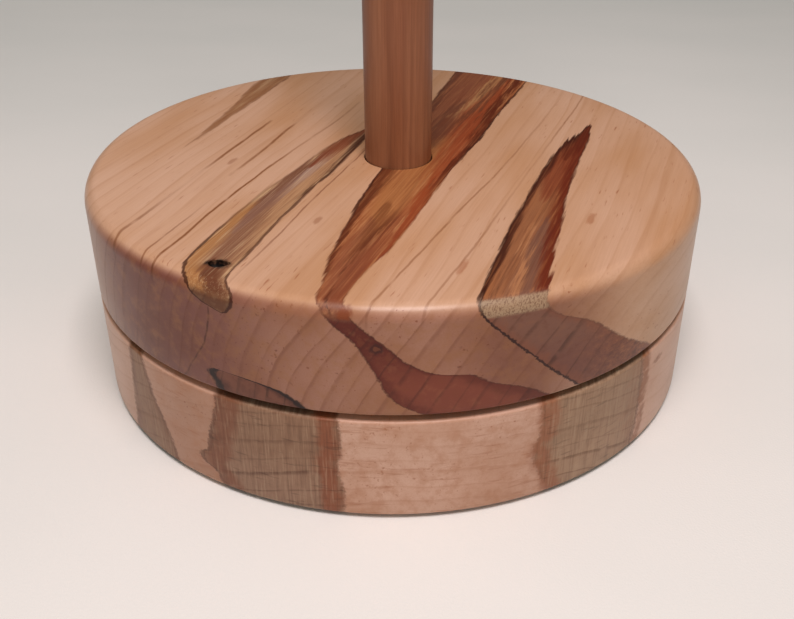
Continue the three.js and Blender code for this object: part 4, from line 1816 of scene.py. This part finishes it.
@dataclass(frozen=True)
class Studio:
    """A plain pale floor, soft lamps and the camera."""

    lens: float = 45.43
    shift: tuple[float, float] = (-0.0796, 0.01247)
    elevation: float = 31.22
    roll: float = 1.9
    distance: float = 317.5
    aim: tuple[float, float, float] = (19.41, 0.0, 5.64)

    def floor(self) -> None:
        """Lays the floor, with a faint unevenness in its colour."""
        mesh = bpy.data.meshes.new("floor")
        body = bmesh.new()
        bmesh.ops.create_grid(body, x_segments=8, y_segments=8, size=3.0)
        body.to_mesh(mesh)
        body.free()
        piece = bpy.data.objects.new("floor", mesh)
        bpy.context.scene.collection.objects.link(piece)
        surface = Surface("pale floor")
        g = surface.graph
        x, y, z = (g.times(part, 1 / MM) for part in g.split(surface.place["Object"]))
        cloudy = g.noise(g.point(g.times(x, 0.006), g.times(y, 0.012), z), 2.0)
        tooth = g.noise(g.point(g.times(x, 1.6), g.times(y, 1.6), z), 2.0)
        base = g.mix(g.step(cloudy, 0.3, 0.7), colour("e8e5e0"), colour("e4e2dd"))
        mesh.materials.append(surface.dress(base, g.fit(tooth, 0.85, 0.95), tooth, rise=0.06))

    def lamp(
        self, name: str, place: tuple[float, float, float], size: float, power: float, tint: str,
        at: tuple[float, float, float] = (0.0, 0.0, 0.03),
    ) -> None:
        """Hangs one soft square lamp.

        Args:
            name: The lamp's name.
            place: Where it is, in metres.
            size: Its side, in metres.
            power: Its power, in watts.
            tint: Its colour.
            at: The point that it faces.
        """
        data = bpy.data.lights.new(name, "AREA")
        data.shape, data.size, data.energy = "SQUARE", size, power
        data.color = colour(tint)[:3]
        lamp = bpy.data.objects.new(name, data)
        lamp.location = place
        lamp.rotation_euler = (Vector(at) - Vector(place)).to_track_quat("-Z", "Y").to_euler()
        bpy.context.scene.collection.objects.link(lamp)

    def light(self) -> None:
        """Sets the soft overhead lamp, a fill behind, and the even light all round."""
        self.lamp("overhead", (0.04, -0.26, 0.68), 0.26, 4.0, "fff2f2")
        self.lamp("back left", (-0.75, 1.25, 0.6), 0.6, 0.5, "fff8f0")
        world = bpy.data.worlds.new("studio")
        world.use_nodes = True
        g = Graph(world.node_tree)
        _, back, up = g.split(g.add("ShaderNodeTexCoord").outputs["Generated"])
        overhead = g.step(g.math("SUBTRACT", up, g.times(back, 0.7)), -0.05, 0.9)
        background = world.node_tree.nodes["Background"]
        background.inputs["Color"].default_value = colour("fbfffa")
        g.feed(background.inputs["Strength"], g.fit(overhead, 0.03, 0.42))
        bpy.context.scene.world = world
        bpy.context.scene.view_settings.view_transform = "Standard"

    def camera(self) -> None:
        """Sets the camera at its measured place, with the shift that its framing needs."""
        data = bpy.data.cameras.new("camera")
        data.sensor_width, data.lens = 36.0, self.lens
        data.shift_x, data.shift_y = self.shift
        data.clip_start = 0.01
        lift, roll = math.radians(self.elevation), math.radians(self.roll)
        back = Vector((0.0, -math.cos(lift), math.sin(lift)))
        up = Vector((0.0, math.sin(lift), math.cos(lift)))
        side = Vector((1.0, 0.0, 0.0))
        right = side * math.cos(roll) + up * math.sin(roll)
        top = up * math.cos(roll) - side * math.sin(roll)
        camera = bpy.data.objects.new("camera", data)
        turn = Matrix((right, top, back)).transposed().to_4x4()
        place = (Vector(self.aim) + back * self.distance) * MM
        camera.matrix_world = Matrix.Translation(place) @ turn
        bpy.context.scene.collection.objects.link(camera)
        bpy.context.scene.camera = camera


def main() -> None:
    """Builds the holder and its surroundings, and notes each new piece's face count."""
    logging.basicConfig(level=logging.INFO, format="%(name)s: %(message)s")
    studio = Studio()
    studio.camera()
    studio.floor()
    studio.light()
    effects = Effects()

    zinc = Metal("zinc plated steel", "c9ccd0", "9a9ea3", (0.28, 0.46), 7.0).material(effects)
    yellow_zinc = Metal("yellow zinc plating", "c6b06a", "9c8458", (0.28, 0.5), 2.5).material(effects)
    bright = Metal("polished ball steel", "dcdee0", "bfc2c6", (0.06, 0.16), 3.0).material(effects)
    felt = Felt().material()

    base = Base()
    base.disc(base_wood(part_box("base_disc")[1].z / MM).material(effects))
    base.hardware(zinc, yellow_zinc)
    base.feet(felt)
    ring = BallRing()
    ring.hardware(bright, Nylon().material(effects))
    platter = Platter()
    platter.disc(platter_wood(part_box("platter_disc")[1].z / MM).material(effects))
    platter.post(PostWood().material(effects))
    platter.hardware(zinc, yellow_zinc)
    for piece in base.pieces + platter.pieces:
        log.info("%s: %d faces", piece.name, len(piece.data.polygons))


if __name__ == "__main__":
    main()
